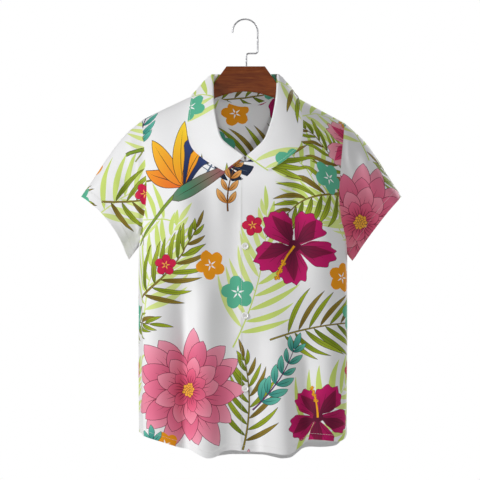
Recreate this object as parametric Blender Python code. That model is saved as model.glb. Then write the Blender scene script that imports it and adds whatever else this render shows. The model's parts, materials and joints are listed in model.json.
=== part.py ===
"""Short-sleeved hawaiian shirt, filled out, on a flat wooden hanger with a wire hook.

Lengths are in millimetres and become metres where a mesh is made. +Z is up, the front faces -Y and
+X is the wearer's left. The origin is the inner top of the hook's arc, where a rail carries it.
The shirt is cut as two fronts, a back, two sleeves and a collar. Each is a cloth wall, and the
walls meet at mitred seams with a small gap. The front and back are height fields over the X-Z
plane: a rounded section across the body, times a profile that falls away from the shoulder line.
"""
import math

import bmesh
import bpy
import numpy as np
from mathutils import Vector
from mathutils.bvhtree import BVHTree

MM = 0.001
DIAGONAL = math.sqrt(0.5)
WALL = 1.6              # cloth wall
SEAM_GAP = 0.3          # between two pieces at a seam
ARMHOLE_GAP = 0.6       # at the armholes, whose walls meet at a sharp angle
SIDES = {"right": -1, "left": 1}

# Torso sections: height, half widths of the wearer's right and left, depths forward and back
TORSO_COLUMNS = ("z", "right", "left", "front", "back")
TORSO = (
    (-890, 211, 201, 103, 96),
    (-760, 212, 201, 104, 93),
    (-620, 212, 201, 108, 93),
    (-480, 212, 201, 113, 98),
    (-400, 213, 203, 116, 103),
    (-300, 218, 209, 115, 107),
    (-200, 226, 218, 110, 106),
    (-100, 230, 222, 108, 104),
)
SQUARENESS = 3.3        # exponent of the rounded section

# Shoulder line: distance from the middle, its height on each side
RIDGE_COLUMNS = ("x", "right", "left")
RIDGE = (
    (0, -119, -119),
    (40, -126, -127),
    (75, -139, -141),
    (103, -151, -155),
    (140, -168, -175),
    (187, -190.5, -200),
    (210, -203, -213),
    (240, -226, -236),
)
SHOULDER_DROP = {"front": 205, "back": 175}     # height over which the shoulder rounds off
SHOULDER_POWER = 0.62
NECK_POINT_X = 75
CHEST_Z = -460
ARMPIT_Z = {"right": -452, "left": -464}
SHOULDER_TIP = 0.665    # how far round the section the armhole sits, 0 at the side seam
SHOULDER_TIP_Z = -205
BEYOND_SIDE_X = 250     # clear of both side seams

# Hem: X, height of the front's edge and of the back's
HEM_COLUMNS = ("x", "front", "back")
HEM = (
    (-212, -823, -823),
    (-168, -842, -838),
    (-136, -854, -848),
    (-110, -860, -856),
    (-90, -871, -864),
    (-74, -877, -868),
    (-58, -873, -872),
    (-44, -863, -870),
    (-26, -860, -868),
    (0, -863, -868),
    (34, -864, -869),
    (58, -867, -874),
    (74, -870, -877),
    (90, -868, -875),
    (104, -858, -865),
    (116, -849, -856),
    (131, -839, -853),
    (150, -840, -854),
    (178, -843, -851),
    (194, -835, -838),
    (202, -826, -827),
)

# Largest soft folds: X and Z of the upper end, X and Z of the lower end, half width, height
FOLD_FOOT = -880        # folds that reach down to here run out at the hem
FRONT_FOLDS = (
    (-82, -480, -80, -880, 27, 10.5),
    (-128, -500, -121, -880, 17, -9.5),
    (-182, -430, -174, -880, 26, 8.0),
    (-30, -300, -34, -880, 26, -5.5),
    (62, -560, 76, -880, 27, 10.5),
    (18, -600, 18, -880, 22, -5.5),
    (102, -230, 106, -560, 22, -9.0),
    (146, -260, 146, -600, 30, 6.5),
    (116, -600, 122, -880, 22, -9.5),
    (166, -560, 160, -880, 24, 6.0),
    (-130, -260, -108, -540, 30, 8.5),
    (-76, -300, -64, -560, 24, -5.0),
)
BACK_FOLDS = (
    (-60, -300, -88, -880, 32, 6.5),
    (-128, -380, -134, -880, 24, -5.5),
    (4, -420, -14, -880, 30, -5.0),
    (60, -330, 68, -880, 34, 6.0),
    (118, -450, 122, -880, 24, -5.5),
    (158, -560, 160, -880, 24, 4.5),
)
SLEEVE_FOLDS = (        # turn round the sleeve (0 top, 0.25 front), start, end, half width, height
    (0.20, -0.20, 0.75, 0.045, -4.5),
    (0.30, -0.20, 0.85, 0.040, 4.0),
    (0.41, 0.00, 1.30, 0.040, -3.5),
    (0.10, 0.30, 1.30, 0.040, 3.0),
    (0.62, -0.20, 0.90, 0.045, -4.0),
    (0.74, 0.10, 1.30, 0.045, 4.0),
)
SEAM_FADE = 28.0        # folds die out this near a seam
FOLD_EASE = 110.0       # folds grow over this length
SLEEVE_FOLD_EASE = 0.3  # the same, as a part of the sleeve's length

# Sleeves: top and under corners of the cuff, its half depth, and how far its middle is drawn in
CUFFS = {
    "right": {"top": (-327, -354), "under": (-232, -479)},
    "left": {"top": (312, -353), "under": (215, -481)},
}
CUFF_HALF_DEPTH = 55
CUFF_DRAWN_IN = {"right": 14, "left": 3}
CUFF_SQUARE = 0.75      # how squarely the sleeve's lines meet the cuff
SLEEVE_TOP_START = (0.82, -0.57)    # run and drop where the sleeve leaves the shoulder
SLEEVE_END = (0.55, -0.835)         # run and drop where it reaches the cuff
SLEEVE_SWELL = -0.22                # below 0 the sleeve leaves the armhole in a soft valley

# Button stand
LAP_EDGE_X = -10        # free edge of the wearer's left front, on top
UNDER_EDGE_X = 16       # free edge of the wearer's right front, beneath
LAP_EASE = 34           # the under front starts to ease back this far from the edge above it
LAP_EASED = 4           # and has done so this near the edge
LAP_STEP = WALL + 0.7
COLLAR_END_X = 2.4      # the collar's ends start this far from the middle

# Front neckline seam, under the collar: distance from the middle and height
NECKLINE_COLUMNS = ("x", "z")
NECKLINE = ((0, -283), (14, -277), (30, -266), (47, -249), (58, -225), (66, -195), (72, -163), (75, -140))
NECK_BACK_Y = 66        # how far back the neckline seam reaches
NECK_BACK_Z = -160      # height at which that depth is measured

# Roll line of the collar, back to front: half widths on each side, depth, height
ROLL_COLUMNS = ("right", "left", "y", "z")
ROLL_BACK = ((0, 0, 60, -111), (34, 34, 52, -110), (57, 57, 30, -109), (64.5, 65, 4, -109))
ROLL_FRONT = (
    (64.5, 65, 4, -109),
    (64, 64, -16, -128),
    (62.5, 61, -44, -158),
    (60, 55, -72, -190),
    (56, 47, -90, -216),
    (48, 38, -102, -237),
    (30, 24, -109, -252),
    (14, 12, -113, -263),
    (3.2, 2.4, -116, -271),
)
# Outer edge of the collar's fall: distance from the middle, height below the shoulder or absolute
FALL_BACK = ((0, -168), (40, -170), (78, -170), (98, -164))
FALL_SHOULDER_X = 106
FALL_FRONT = ((111, -175), (115, -205), (114, -234), (106, -257), (87, -275), (65, -290), (43, -302))
FALL_KNOTS = 8          # points of its back part before it is smoothed
FALL_CLEARANCE = 1.8    # fall's underside off the panel
FALL_STEPS = (0.12, 0.3, 0.5, 0.7, 0.86, 1.0)       # columns from the roll to the edge
ROLL_RADIUS = 1.5       # inside the fold
FALL_BULGE = 3.5
FALL_FIRST = 7          # first column of the fall in the collar grid
MITRE_LIMIT = 0.6       # least cosine at a mitred rim

# Mesh steps
ROWS_LOW = 11           # hem to chest
ROWS_UP = 14            # chest to shoulder
ROWS_STAND = 5          # of those, chest to the neckline's front corner
ROWS_COLLAR = ROWS_UP - ROWS_STAND - 1      # collar's end to neck point
COLUMNS_FRONT = 14
COLUMNS_NECK = 5        # back neckline, middle to neck point
SLEEVE_RINGS = 8
DENSE = 400             # points of a line before it is divided
CLOSING_POWER = 1.45    # rows draw together towards the shoulder line

# Buttons
BUTTONS = {"upper": -452, "middle": -591, "lower": -737}
BUTTON_X = 0
BUTTON_RADIUS = 7.0
BUTTON_THICK = 2.4
BUTTON_RIM = 0.7
BUTTON_STEPS = 20

# Hanger
WOOD_HALF_THICK = 6.5
WOOD_TOP_Z = -92.6
WOOD_TOP = (-37.4, 39.6)
WOOD_SHOULDER_Z = -124
WOOD_SHOULDER = (-60.4, 61.6)
WOOD_LOW_Z = -155
WOOD_LOW = (-57.8, 56.2)
WOOD_ARCH_Z = -143
ARM_TIP_X = 188
ARM_ROOT_X = 82         # arms carry the cloth from here out
WOOD_NOTCH_X = 68.5     # board drops below the collar's seam here
WOOD_NOTCH_Z = -143
WOOD_NOTCH_RISE = 6     # of the arm's foot there
ARM_HEIGHTS = (28, 21)  # arm's height by the collar and at the tip
ARM_SEAT = 0.9          # between the arm's top and the cloth's middle line
ARM_CORNER = 6.2
ARM_SECTIONS = 8
ARM_TIP_ROUND = 4
WOOD_CORNER = 2.2
CORNER_STEPS = 2

# Hook
WIRE_RADIUS = 1.5
HOOK_ARC_RADIUS = 25
HOOK_STEM_X = 2.4
HOOK_CRANK_Z = -67
HOOK_BEND = 5
HOOK_TURN = 185         # degrees of the arc
HOOK_SOCKET = 14        # wire inside the wood's bore
BORE_CLEARANCE = 0.3


# ---------------------------------------------------------------- curves and tables
def column(table, names, name):
    return np.array([row[names.index(name)] for row in table], dtype=float)


def smooth(x, xs, ys):
    """Smooth interpolation through table points, with level ends and no overshoot."""
    xs, ys = np.asarray(xs, float), np.asarray(ys, float)
    if xs[0] > xs[-1]:
        xs, ys = xs[::-1], ys[::-1]
    steps = np.diff(xs)
    slopes = np.diff(ys) / steps
    inner = np.where(slopes[:-1] * slopes[1:] > 0,
                     2 * slopes[:-1] * slopes[1:] / (slopes[:-1] + slopes[1:] + 1e-12), 0.0)
    ends = np.concatenate(([slopes[0]], inner, [slopes[-1]]))
    x = np.clip(x, xs[0], xs[-1])
    i = np.clip(np.searchsorted(xs, x, side="right") - 1, 0, len(steps) - 1)
    t = (x - xs[i]) / steps[i]
    h = steps[i]
    return ((1 + 2 * t) * (1 - t) ** 2 * ys[i] + t * (1 - t) ** 2 * h * ends[i]
            + t * t * (3 - 2 * t) * ys[i + 1] + t * t * (t - 1) * h * ends[i + 1])


def lengths(points):
    steps = np.linalg.norm(np.diff(points, axis=0), axis=1)
    return np.concatenate(([0.0], np.cumsum(steps)))


def along(points, parts):
    """Points of a line at the given parts of its length."""
    run = lengths(points)
    return np.stack([np.interp(np.asarray(parts) * run[-1], run, points[:, k])
                     for k in range(points.shape[1])], axis=1)


def close_at_end(count):
    """Parts of a length, 0 to 1, that draw together towards the end."""
    return 1 - (1 - np.linspace(0, 1, count + 1)) ** CLOSING_POWER


def unit(v):
    return v / np.maximum(np.linalg.norm(v, axis=-1, keepdims=True), 1e-12)


# ---------------------------------------------------------------- the torso's surface
def by_side(x, table, names, at):
    """A table's right column where X is negative, its left column elsewhere."""
    key = column(table, names, names[0])
    right = smooth(at, key, column(table, names, "right"))
    left = smooth(at, key, column(table, names, "left"))
    return np.where(x < 0, right, left)


def half_width(x, z):
    return by_side(x, TORSO, TORSO_COLUMNS, z)


def ridge(x):
    return by_side(x, RIDGE, RIDGE_COLUMNS, np.abs(x))


def section(x, z):
    part = np.clip(np.abs(x) / half_width(x, z), 0, 1)
    return (1 - part ** SQUARENESS) ** (1 / SQUARENESS)


def depth(x, z, face, lift=0.0):
    """How far the face stands off the X-Z plane; lift gives a surface that far outside it."""
    x, z = np.asarray(x, float), np.asarray(z, float)
    fall = np.clip((ridge(x) - (z - lift)) / SHOULDER_DROP[face], 0, 1)
    rounding = (1 - (1 - fall) ** 2) ** SHOULDER_POWER
    reach = smooth(z, column(TORSO, TORSO_COLUMNS, "z"), column(TORSO, TORSO_COLUMNS, face))
    return reach * section(x, z) * rounding + lift


def hem(x, face):
    return smooth(x, column(HEM, HEM_COLUMNS, "x"), column(HEM, HEM_COLUMNS, face))


def armhole(side):
    """Armhole seam in the X-Z plane, armpit to shoulder tip, as X and Z arrays."""
    turn = np.linspace(math.pi, 0, DENSE)
    sign = SIDES[side]
    tip_z = ridge(sign * half_width(sign, SHOULDER_TIP_Z) * tip_part(1.0))
    z = ARMPIT_Z[side] + (tip_z - ARMPIT_Z[side]) * (1 + np.cos(turn)) / 2
    round_to = np.where(turn > math.pi / 2, np.sin(turn), 1.0)
    x = sign * half_width(sign, z) * tip_part(round_to)
    z[-1] = ridge(x[-1])
    return x, z


def tip_part(round_to):
    return (1 - (SHOULDER_TIP * round_to) ** SQUARENESS) ** (1 / SQUARENESS)


def folds(x, z, table):
    """Sum of the soft folds at points of a panel."""
    total = np.zeros_like(x)
    for x_top, z_top, x_low, z_low, width, height in table:
        part = (z_top - z) / (z_top - z_low)
        centre = x_top + (x_low - x_top) * part
        below = np.clip((z_top - z) / FOLD_EASE, 0, 1)
        above = np.clip((z - z_low) / FOLD_EASE, 0, 1) if z_low > FOLD_FOOT else 1.0
        ease = below * below * (3 - 2 * below) * above
        total += height * ease * np.exp(-((x - centre) / width) ** 2)
    return total


# ---------------------------------------------------------------- torso panels as grids
def angle_of(x, z):
    part = np.clip(np.abs(x) / half_width(x, z), 0, 1)
    return np.sign(x) * np.arcsin(np.clip(part ** (SQUARENESS / 2), 0, 1))


def row_points(start, end, level, face):
    """One row of a panel from start to end (X, Z), evenly spaced later along its length.

    level is a function of X that gives the row's height.
    """
    first = angle_of(start[0], start[1])
    last = angle_of(end[0], end[1])
    angles = np.linspace(first, last, DENSE)
    middle_z = (start[1] + end[1]) / 2
    x = np.sign(angles) * half_width(angles, middle_z) * np.abs(np.sin(angles)) ** (2 / SQUARENESS)
    x = start[0] + (x - x[0]) * (end[0] - start[0]) / (x[-1] - x[0])
    z = level(x)
    y = depth(x, z, face) * (-1 if face == "front" else 1)
    return np.stack([x, y, z], axis=1)


def half_panel(side, face, inner_x):
    """Grid of one half of the torso, rows from hem to shoulder, columns from the middle out.

    On the front the middle edge climbs the neckline; on the back the top row holds it.
    """
    sign = SIDES[side]
    arm_x, arm_z = armhole(side)
    arm_y = depth(arm_x, arm_z, face)
    arm = along(np.stack([arm_x, arm_y, arm_z], axis=1), close_at_end(ROWS_UP))
    side_x = sign * float(half_width(sign, hem(sign * BEYOND_SIDE_X, face)))
    side_z = float(hem(side_x, face))
    inner = inner_edge(side, face, inner_x)
    top = top_level(side, face)
    columns = COLUMNS_FRONT + (0 if face == "front" else COLUMNS_NECK)
    rows = []
    for low in range(ROWS_LOW):
        part = low / ROWS_LOW
        start_z = (1 - part) * hem(inner_x, face) + part * CHEST_Z
        end_z = (1 - part) * side_z + part * ARMPIT_Z[side]
        end_x = sign * float(half_width(sign, end_z))

        def level(x, part=part, end_x=end_x):
            chest = CHEST_Z + (ARMPIT_Z[side] - CHEST_Z) * np.clip(np.abs(x / end_x), 0, 1)
            return (1 - part) * hem(x * side_x / end_x, face) + part * chest

        line = row_points((inner_x, start_z), (end_x, end_z), level, face)
        rows.append(along(line, np.linspace(0, 1, columns + 1)))
    for up in range(ROWS_UP + 1):
        part = up / ROWS_UP
        start, end = inner[up], (arm[up][0], arm[up][2])
        bend = part ** 1.5

        def level(x, start=start, end=end, bend=bend):
            q = np.clip((x - start[0]) / (end[0] - start[0]), 0, 1)
            straight = start[1] + (end[1] - start[1]) * q
            drop = (top(start[0]) - start[1]) * (1 - q) + (top(end[0]) - end[1]) * q
            return (1 - bend) * straight + bend * (top(x) - drop)

        line = row_points(start, end, level, face)
        rows.append(along(line, column_parts(line, face, part)))
    grid = np.array(rows)
    grid[ROWS_LOW:, -1] = np.stack([arm[:, 0], arm[:, 1] * (-1 if face == "front" else 1), arm[:, 2]], 1)
    return grid


def column_parts(line, face, part):
    """Where the columns stand along a row; on the back one of them reaches the neck point."""
    if face == "front":
        return np.linspace(0, 1, COLUMNS_FRONT + 1)
    even = np.linspace(0, 1, COLUMNS_FRONT + COLUMNS_NECK + 1)
    run = lengths(line)
    at_neck = np.interp(NECK_POINT_X, np.abs(line[:, 0]), run / run[-1])
    share = COLUMNS_NECK / (COLUMNS_FRONT + COLUMNS_NECK)
    held = np.interp(even, (0, share, 1), (0, at_neck, 1))
    return even + (held - even) * part ** 2


def inner_edge(side, face, inner_x):
    """(X, Z) of a panel's middle edge for each row above the chest.

    On the front it climbs the button stand, turns in to the collar's end and follows the neckline.
    """
    sign = SIDES[side]
    if face == "back":
        top = float(top_level(side, face)(np.array([0.0]))[0])
        return [(0.0, CHEST_Z + (top - CHEST_Z) * rise) for rise in close_at_end(ROWS_UP)]
    start_z = float(neckline_z(0.0))
    stand = [(inner_x, CHEST_Z + (start_z - CHEST_Z) * k / ROWS_STAND) for k in range(ROWS_STAND + 1)]
    x = np.linspace(sign * COLLAR_END_X, sign * NECK_POINT_X, DENSE)
    z = neckline_z(np.abs(x))
    z[-1] = ridge(x[-1])
    line = np.stack([x, depth(x, z, face), z], axis=1)
    rise = along(line, close_at_end(ROWS_COLLAR))
    return stand + [(p[0], p[2]) for p in rise]


def neckline_z(distance):
    return smooth(distance, column(NECKLINE, NECKLINE_COLUMNS, "x"), column(NECKLINE, NECKLINE_COLUMNS, "z"))


def top_level(side, face):
    """Height of a panel's top edge over X: the shoulder line, and on the back the neckline."""
    sign = SIDES[side]

    def level(x):
        shoulder = ridge(np.where(np.abs(x) < 1e-9, sign * 1e-9, x))
        if face == "front":
            return shoulder
        part = np.clip(np.abs(x) / NECK_POINT_X, 0, 1)
        back = NECK_BACK_Y * np.sqrt(1 - part * part)
        z = np.full_like(part, NECK_BACK_Z)
        reach = smooth(z, column(TORSO, TORSO_COLUMNS, "z"), column(TORSO, TORSO_COLUMNS, face))
        rounding = np.clip(back / (reach * section(x, z)), 0, 1)
        drop = 1 - np.sqrt(1 - rounding ** (1 / SHOULDER_POWER))
        return shoulder - SHOULDER_DROP[face] * drop

    return level


def grid_normals(grid):
    """Unit normals of a grid, from central differences."""
    across = np.gradient(grid, axis=1)
    up = np.gradient(grid, axis=0)
    return unit(np.cross(across, up))


def seam_fade(grid, open_inner):
    """1 inside a panel and 0 at its seams, so that folds leave the seams in place."""
    rows, cols = grid.shape[:2]
    from_side = np.stack([lengths(row[::-1])[::-1] for row in grid])
    from_top = np.stack([lengths(grid[::-1, k])[::-1] for k in range(cols)], axis=1)
    near = np.minimum(from_side, from_top)
    if open_inner:
        from_inner = np.stack([lengths(row) for row in grid])
        from_inner[:ROWS_LOW + ROWS_STAND] = SEAM_FADE
        near = np.minimum(near, from_inner)
    part = np.clip(near / SEAM_FADE, 0, 1)
    return part * part * (3 - 2 * part)


def folded(grid, outward, table, open_inner):
    height = folds(grid[..., 0], grid[..., 2], table) * seam_fade(grid, open_inner)
    return grid + outward * height[..., None]


def torso_panels():
    """Outer grids and outward normals of the fronts and the back."""
    panels = {}
    for side, inner_x in (("right", UNDER_EDGE_X), ("left", LAP_EDGE_X)):
        grid = half_panel(side, "front", inner_x)
        outward = grid_normals(grid) * SIDES[side]
        panels["front_" + side] = [folded(grid, outward, FRONT_FOLDS, True), outward]
    halves = []
    for side in SIDES:
        halves.append(half_panel(side, "back", 0.0))
    whole = np.concatenate([halves[0][:, ::-1], halves[1][:, 1:]], axis=1)
    outward = -grid_normals(whole)
    fade_right = seam_fade(halves[0], False)[:, ::-1]
    fade = np.concatenate([fade_right, seam_fade(halves[1], False)[:, 1:]], axis=1)
    height = folds(whole[..., 0], whole[..., 2], BACK_FOLDS) * fade
    panels["back"] = [whole + outward * height[..., None], outward]
    ease_under_lap(panels["front_right"])
    return panels


def ease_under_lap(panel):
    """The under front steps back where the other front covers it."""
    grid, outward = panel
    part = np.clip((grid[..., 0] - LAP_EDGE_X + LAP_EASE) / (LAP_EASE - LAP_EASED), 0, 1)
    back = LAP_STEP * part * part * (3 - 2 * part)
    panel[0] = grid - outward * back[..., None]


# ---------------------------------------------------------------- sleeves
def armhole_ring(panels, side):
    """Armhole seam as a closed ring: down the front from the shoulder, up the back."""
    front = panels["front_" + side][0][ROWS_LOW:, -1]
    edge = 0 if side == "right" else -1
    back = panels["back"][0][ROWS_LOW:, edge]
    return np.concatenate([front[::-1], back[1:-1]], axis=0)


def sleeve_grid(ring, side):
    """Sleeve rings from the armhole to the cuff, drawn along smooth lines."""
    sign = SIDES[side]
    closed = np.concatenate([ring, ring[:1]], axis=0)
    run = lengths(closed)
    half = run[ROWS_UP]
    turn = np.where(run[:-1] <= half, run[:-1] / half * 0.5,
                    0.5 + (run[:-1] - half) / (run[-1] - half) * 0.5)
    top = np.array([CUFFS[side]["top"][0], 0, CUFFS[side]["top"][1]], float)
    under = np.array([CUFFS[side]["under"][0], 0, CUFFS[side]["under"][1]], float)
    middle, half_long = (top + under) / 2, (top - under) / 2
    angle = turn * 2 * math.pi
    out = np.array([sign * SLEEVE_END[0], 0, SLEEVE_END[1]])
    cuff = (middle + np.cos(angle)[:, None] * half_long
            - np.sin(angle)[:, None] * np.array([0, CUFF_HALF_DEPTH, 0])
            - (np.sin(angle) ** 2)[:, None] * out * CUFF_DRAWN_IN[side])
    reach = np.linalg.norm(cuff - ring, axis=1, keepdims=True)
    straight = unit(cuff - ring)
    lean = np.clip(np.cos(angle), 0, 1)[:, None]
    start = np.array([sign * SLEEVE_TOP_START[0], 0, SLEEVE_TOP_START[1]])
    swell = np.stack([np.zeros_like(angle), -np.sin(angle), np.zeros_like(angle)], axis=1)
    leave = unit(straight * (1 - lean) + start * lean + SLEEVE_SWELL * swell * (1 - lean)) * reach
    arrive = unit(out * CUFF_SQUARE + straight * (1 - CUFF_SQUARE)) * reach
    grid = []
    for step in np.linspace(0, 1, SLEEVE_RINGS + 1):
        h00 = (1 + 2 * step) * (1 - step) ** 2
        h10 = step * (1 - step) ** 2
        h01 = step * step * (3 - 2 * step)
        h11 = step * step * (step - 1)
        grid.append(h00 * ring + h10 * leave + h01 * cuff + h11 * arrive)
    return np.array(grid), turn


def ring_normals(grid, sign):
    """Outward normals of a grid whose rows are closed rings."""
    across = (np.roll(grid, -1, axis=1) - np.roll(grid, 1, axis=1)) / 2
    down = np.gradient(grid, axis=0)
    return unit(np.cross(across, down)) * sign


def sleeve_folds(grid, turn, outward):
    steps = np.linspace(0, 1, grid.shape[0])[:, None]
    height = np.zeros(grid.shape[:2])
    for centre, start, end, width, rise in SLEEVE_FOLDS:
        away = np.abs(turn[None, :] - centre)
        away = np.minimum(away, 1 - away)
        ease = np.clip(np.minimum(steps - start, end - steps) / SLEEVE_FOLD_EASE, 0, 1)
        height += rise * ease * np.exp(-(away / width) ** 2)
    height *= np.clip(steps / SLEEVE_FOLD_EASE, 0, 1)
    return grid + outward * height[..., None]


# ---------------------------------------------------------------- collar
def body_point(x, z, lift):
    """Point on the body's surface, lifted off it, in front (y < 0)."""
    return np.stack([x, -depth(x, z, "front", lift), z], axis=1)


def fall_edge(side):
    """Outer edge of the collar's fall: back part and front part, each a dense line."""
    sign = SIDES[side]
    lift = FALL_CLEARANCE
    knots = np.array(FALL_BACK, float)
    x = knots[-1, 0] * (1 - np.linspace(1, 0, FALL_KNOTS) ** 2)
    z = smooth(x, knots[:, 0], knots[:, 1])
    back = np.stack([sign * x, depth(sign * x, z, "back", lift), z], axis=1)
    crossing = np.array([[sign * FALL_SHOULDER_X, 0.0, ridge(sign * FALL_SHOULDER_X) + lift]])
    back = spline(np.concatenate([back, crossing]))
    knots = np.array(FALL_FRONT, float)
    front = body_point(sign * knots[:, 0], knots[:, 1], lift)
    front = spline(np.concatenate([crossing, front]))
    return back, front


def spline(points):
    """Dense Catmull-Rom line through points."""
    ends = np.concatenate([[2 * points[0] - points[1]], points, [2 * points[-1] - points[-2]]])
    line = []
    for k in range(len(points) - 1):
        a, b, c, d = ends[k:k + 4]
        t = np.linspace(0, 1, 24, endpoint=False)[:, None]
        line.append(0.5 * (2 * b + (c - a) * t + (2 * a - 5 * b + 4 * c - d) * t * t
                           + (3 * b - a - 3 * c + d) * t ** 3))
    return np.concatenate(line + [points[-1:]])


def roll_line(side):
    sign = SIDES[side]
    lines = []
    for table in (ROLL_BACK, ROLL_FRONT):
        x = column(table, ROLL_COLUMNS, side) * sign
        y = column(table, ROLL_COLUMNS, "y")
        z = column(table, ROLL_COLUMNS, "z")
        lines.append(spline(np.stack([x, y, z], axis=1)))
    return lines


def collar_half(seam, seam_out, side):
    """Underside points of half the collar: one row per seam point, back to front.

    Each row climbs the stand from the neckline seam, turns at the roll line and falls outside.
    """
    parts_back = np.linspace(0, 1, COLUMNS_NECK + 1)
    parts_front = 1 - close_at_end(ROWS_COLLAR)[::-1][1:]
    rolls, edges = roll_line(side), fall_edge(side)
    roll = np.concatenate([along(rolls[0], parts_back), along(rolls[1], parts_front)])
    edge = np.concatenate([along(edges[0], parts_back), along(edges[1], parts_front)])
    tangent = unit(np.gradient(roll, axis=0))
    rows = []
    for k in range(len(seam)):
        climb = roll[k] - seam[k]
        climb -= tangent[k] * climb.dot(tangent[k])
        climb = unit(climb)
        outward = np.cross(climb, tangent[k])
        if outward.dot(seam_out[k]) < 0:
            outward = -outward
        inside = roll[k] - climb * WALL
        near = inside - climb * ROLL_RADIUS - outward * ROLL_RADIUS
        far = inside - climb * ROLL_RADIUS + outward * ROLL_RADIUS
        stand = [seam[k], (seam[k] + near) / 2, near]
        turn = [inside - climb * ROLL_RADIUS * (1 - DIAGONAL) - outward * ROLL_RADIUS * DIAGONAL, inside,
                inside - climb * ROLL_RADIUS * (1 - DIAGONAL) + outward * ROLL_RADIUS * DIAGONAL, far]
        fall = []
        for step in FALL_STEPS:
            point = far + (edge[k] - far) * step
            point = point + outward * FALL_BULGE * 4 * step * (1 - step) * (1 - step)
            fall.append(point)
        rows.append(stand + turn + fall)
    return np.array(rows)


def clear_of_body(grid, first, lift):
    """Push the collar's fall out to a lifted copy of the body's surface where it is inside."""
    x, y, z = grid[:, first:, 0], grid[:, first:, 1], grid[:, first:, 2]
    face_front = y < 0
    limit = np.where(face_front, depth(x, z, "front", lift), depth(x, z, "back", lift))
    under = z < ridge(x) + lift
    grid[:, first:, 1] = np.where(under & (np.abs(y) < limit), np.where(face_front, -limit, limit), y)
    return grid


# ---------------------------------------------------------------- walls from grids
def wall_mesh(name, outer, inner, ring=False):
    """Closed wall between an outer and an inner grid; a ring grid closes on itself across."""
    rows, cols = outer.shape[:2]
    mesh = bpy.data.meshes.new(name)
    model = bmesh.new()
    verts = [[[model.verts.new(grid[r, c] * MM) for c in range(cols)] for r in range(rows)]
             for grid in (outer, inner)]
    span = cols if ring else cols - 1

    def quad(a, b, c, d):
        model.faces.new((a, b, c, d))

    for r in range(rows - 1):
        for c in range(span):
            n = (c + 1) % cols
            quad(verts[0][r][c], verts[0][r][n], verts[0][r + 1][n], verts[0][r + 1][c])
            quad(verts[1][r][c], verts[1][r + 1][c], verts[1][r + 1][n], verts[1][r][n])
    for c in range(span):
        n = (c + 1) % cols
        quad(verts[0][0][n], verts[0][0][c], verts[1][0][c], verts[1][0][n])
        quad(verts[0][-1][c], verts[0][-1][n], verts[1][-1][n], verts[1][-1][c])
    if not ring:
        for r in range(rows - 1):
            quad(verts[0][r][0], verts[0][r + 1][0], verts[1][r + 1][0], verts[1][r][0])
            quad(verts[0][r + 1][-1], verts[0][r][-1], verts[1][r][-1], verts[1][r + 1][-1])
    bmesh.ops.recalc_face_normals(model, faces=model.faces)
    bmesh.ops.triangulate(model, faces=model.faces)
    model.to_mesh(mesh)
    model.free()
    mesh.shade_smooth()
    return mesh


def seam_frame(points, outward):
    """Directions across a seam: perpendicular to it and to the rim direction."""
    return unit(np.cross(unit(np.gradient(points, axis=0)), outward))


def inward_shift(points, outward, inside, gap):
    """Half a seam gap, across the seam and towards the given inside points."""
    across = seam_frame(points, outward)
    sign = np.sign(np.sum(across * unit(inside - points)))
    return across * sign * gap / 2


# ---------------------------------------------------------------- seams
def seam_list():
    """Each seam as its pieces' edges: (piece, row index, column index) arrays that match."""
    up = np.arange(ROWS_LOW, ROWS_LOW + ROWS_UP + 1)
    low = np.arange(0, ROWS_LOW + 1)
    top = ROWS_LOW + ROWS_UP
    half = COLUMNS_FRONT + COLUMNS_NECK
    shoulder = np.arange(0, COLUMNS_FRONT + 1)
    neck_rows = np.arange(top, top - ROWS_COLLAR - 1, -1)
    seams = []
    collar_length = 2 * (COLUMNS_NECK + ROWS_COLLAR) + 1
    collar_middle = collar_length // 2
    for side, sign in SIDES.items():
        front, sleeve = "front_" + side, "sleeve_" + side
        edge = 0 if side == "right" else 2 * half
        seams.append([(front, low, np.full_like(low, COLUMNS_FRONT)),
                      ("back", low, np.full_like(low, edge))])
        seams.append([(front, np.full_like(shoulder, top), shoulder),
                      ("back", np.full_like(shoulder, top), half + sign * (COLUMNS_NECK + shoulder))])
        turn = np.arange(0, ROWS_UP + 1)
        seams.append([(front, up[::-1], np.full_like(up, COLUMNS_FRONT)),
                      (sleeve, np.zeros_like(turn), turn)])
        turn = np.arange(ROWS_UP, 2 * ROWS_UP + 1) % (2 * ROWS_UP)
        seams.append([("back", up, np.full_like(up, edge)),
                      (sleeve, np.zeros_like(turn), turn)])
        along_front = collar_middle + sign * (COLUMNS_NECK + np.arange(0, ROWS_COLLAR + 1))
        seams.append([(front, neck_rows, np.zeros_like(neck_rows)),
                      ("collar", along_front, np.zeros_like(along_front))])
    around = np.arange(-COLUMNS_NECK, COLUMNS_NECK + 1)
    seams.append([("back", np.full_like(around, top), half + around),
                  ("collar", collar_middle + around, np.zeros_like(around))])
    return seams


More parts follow.
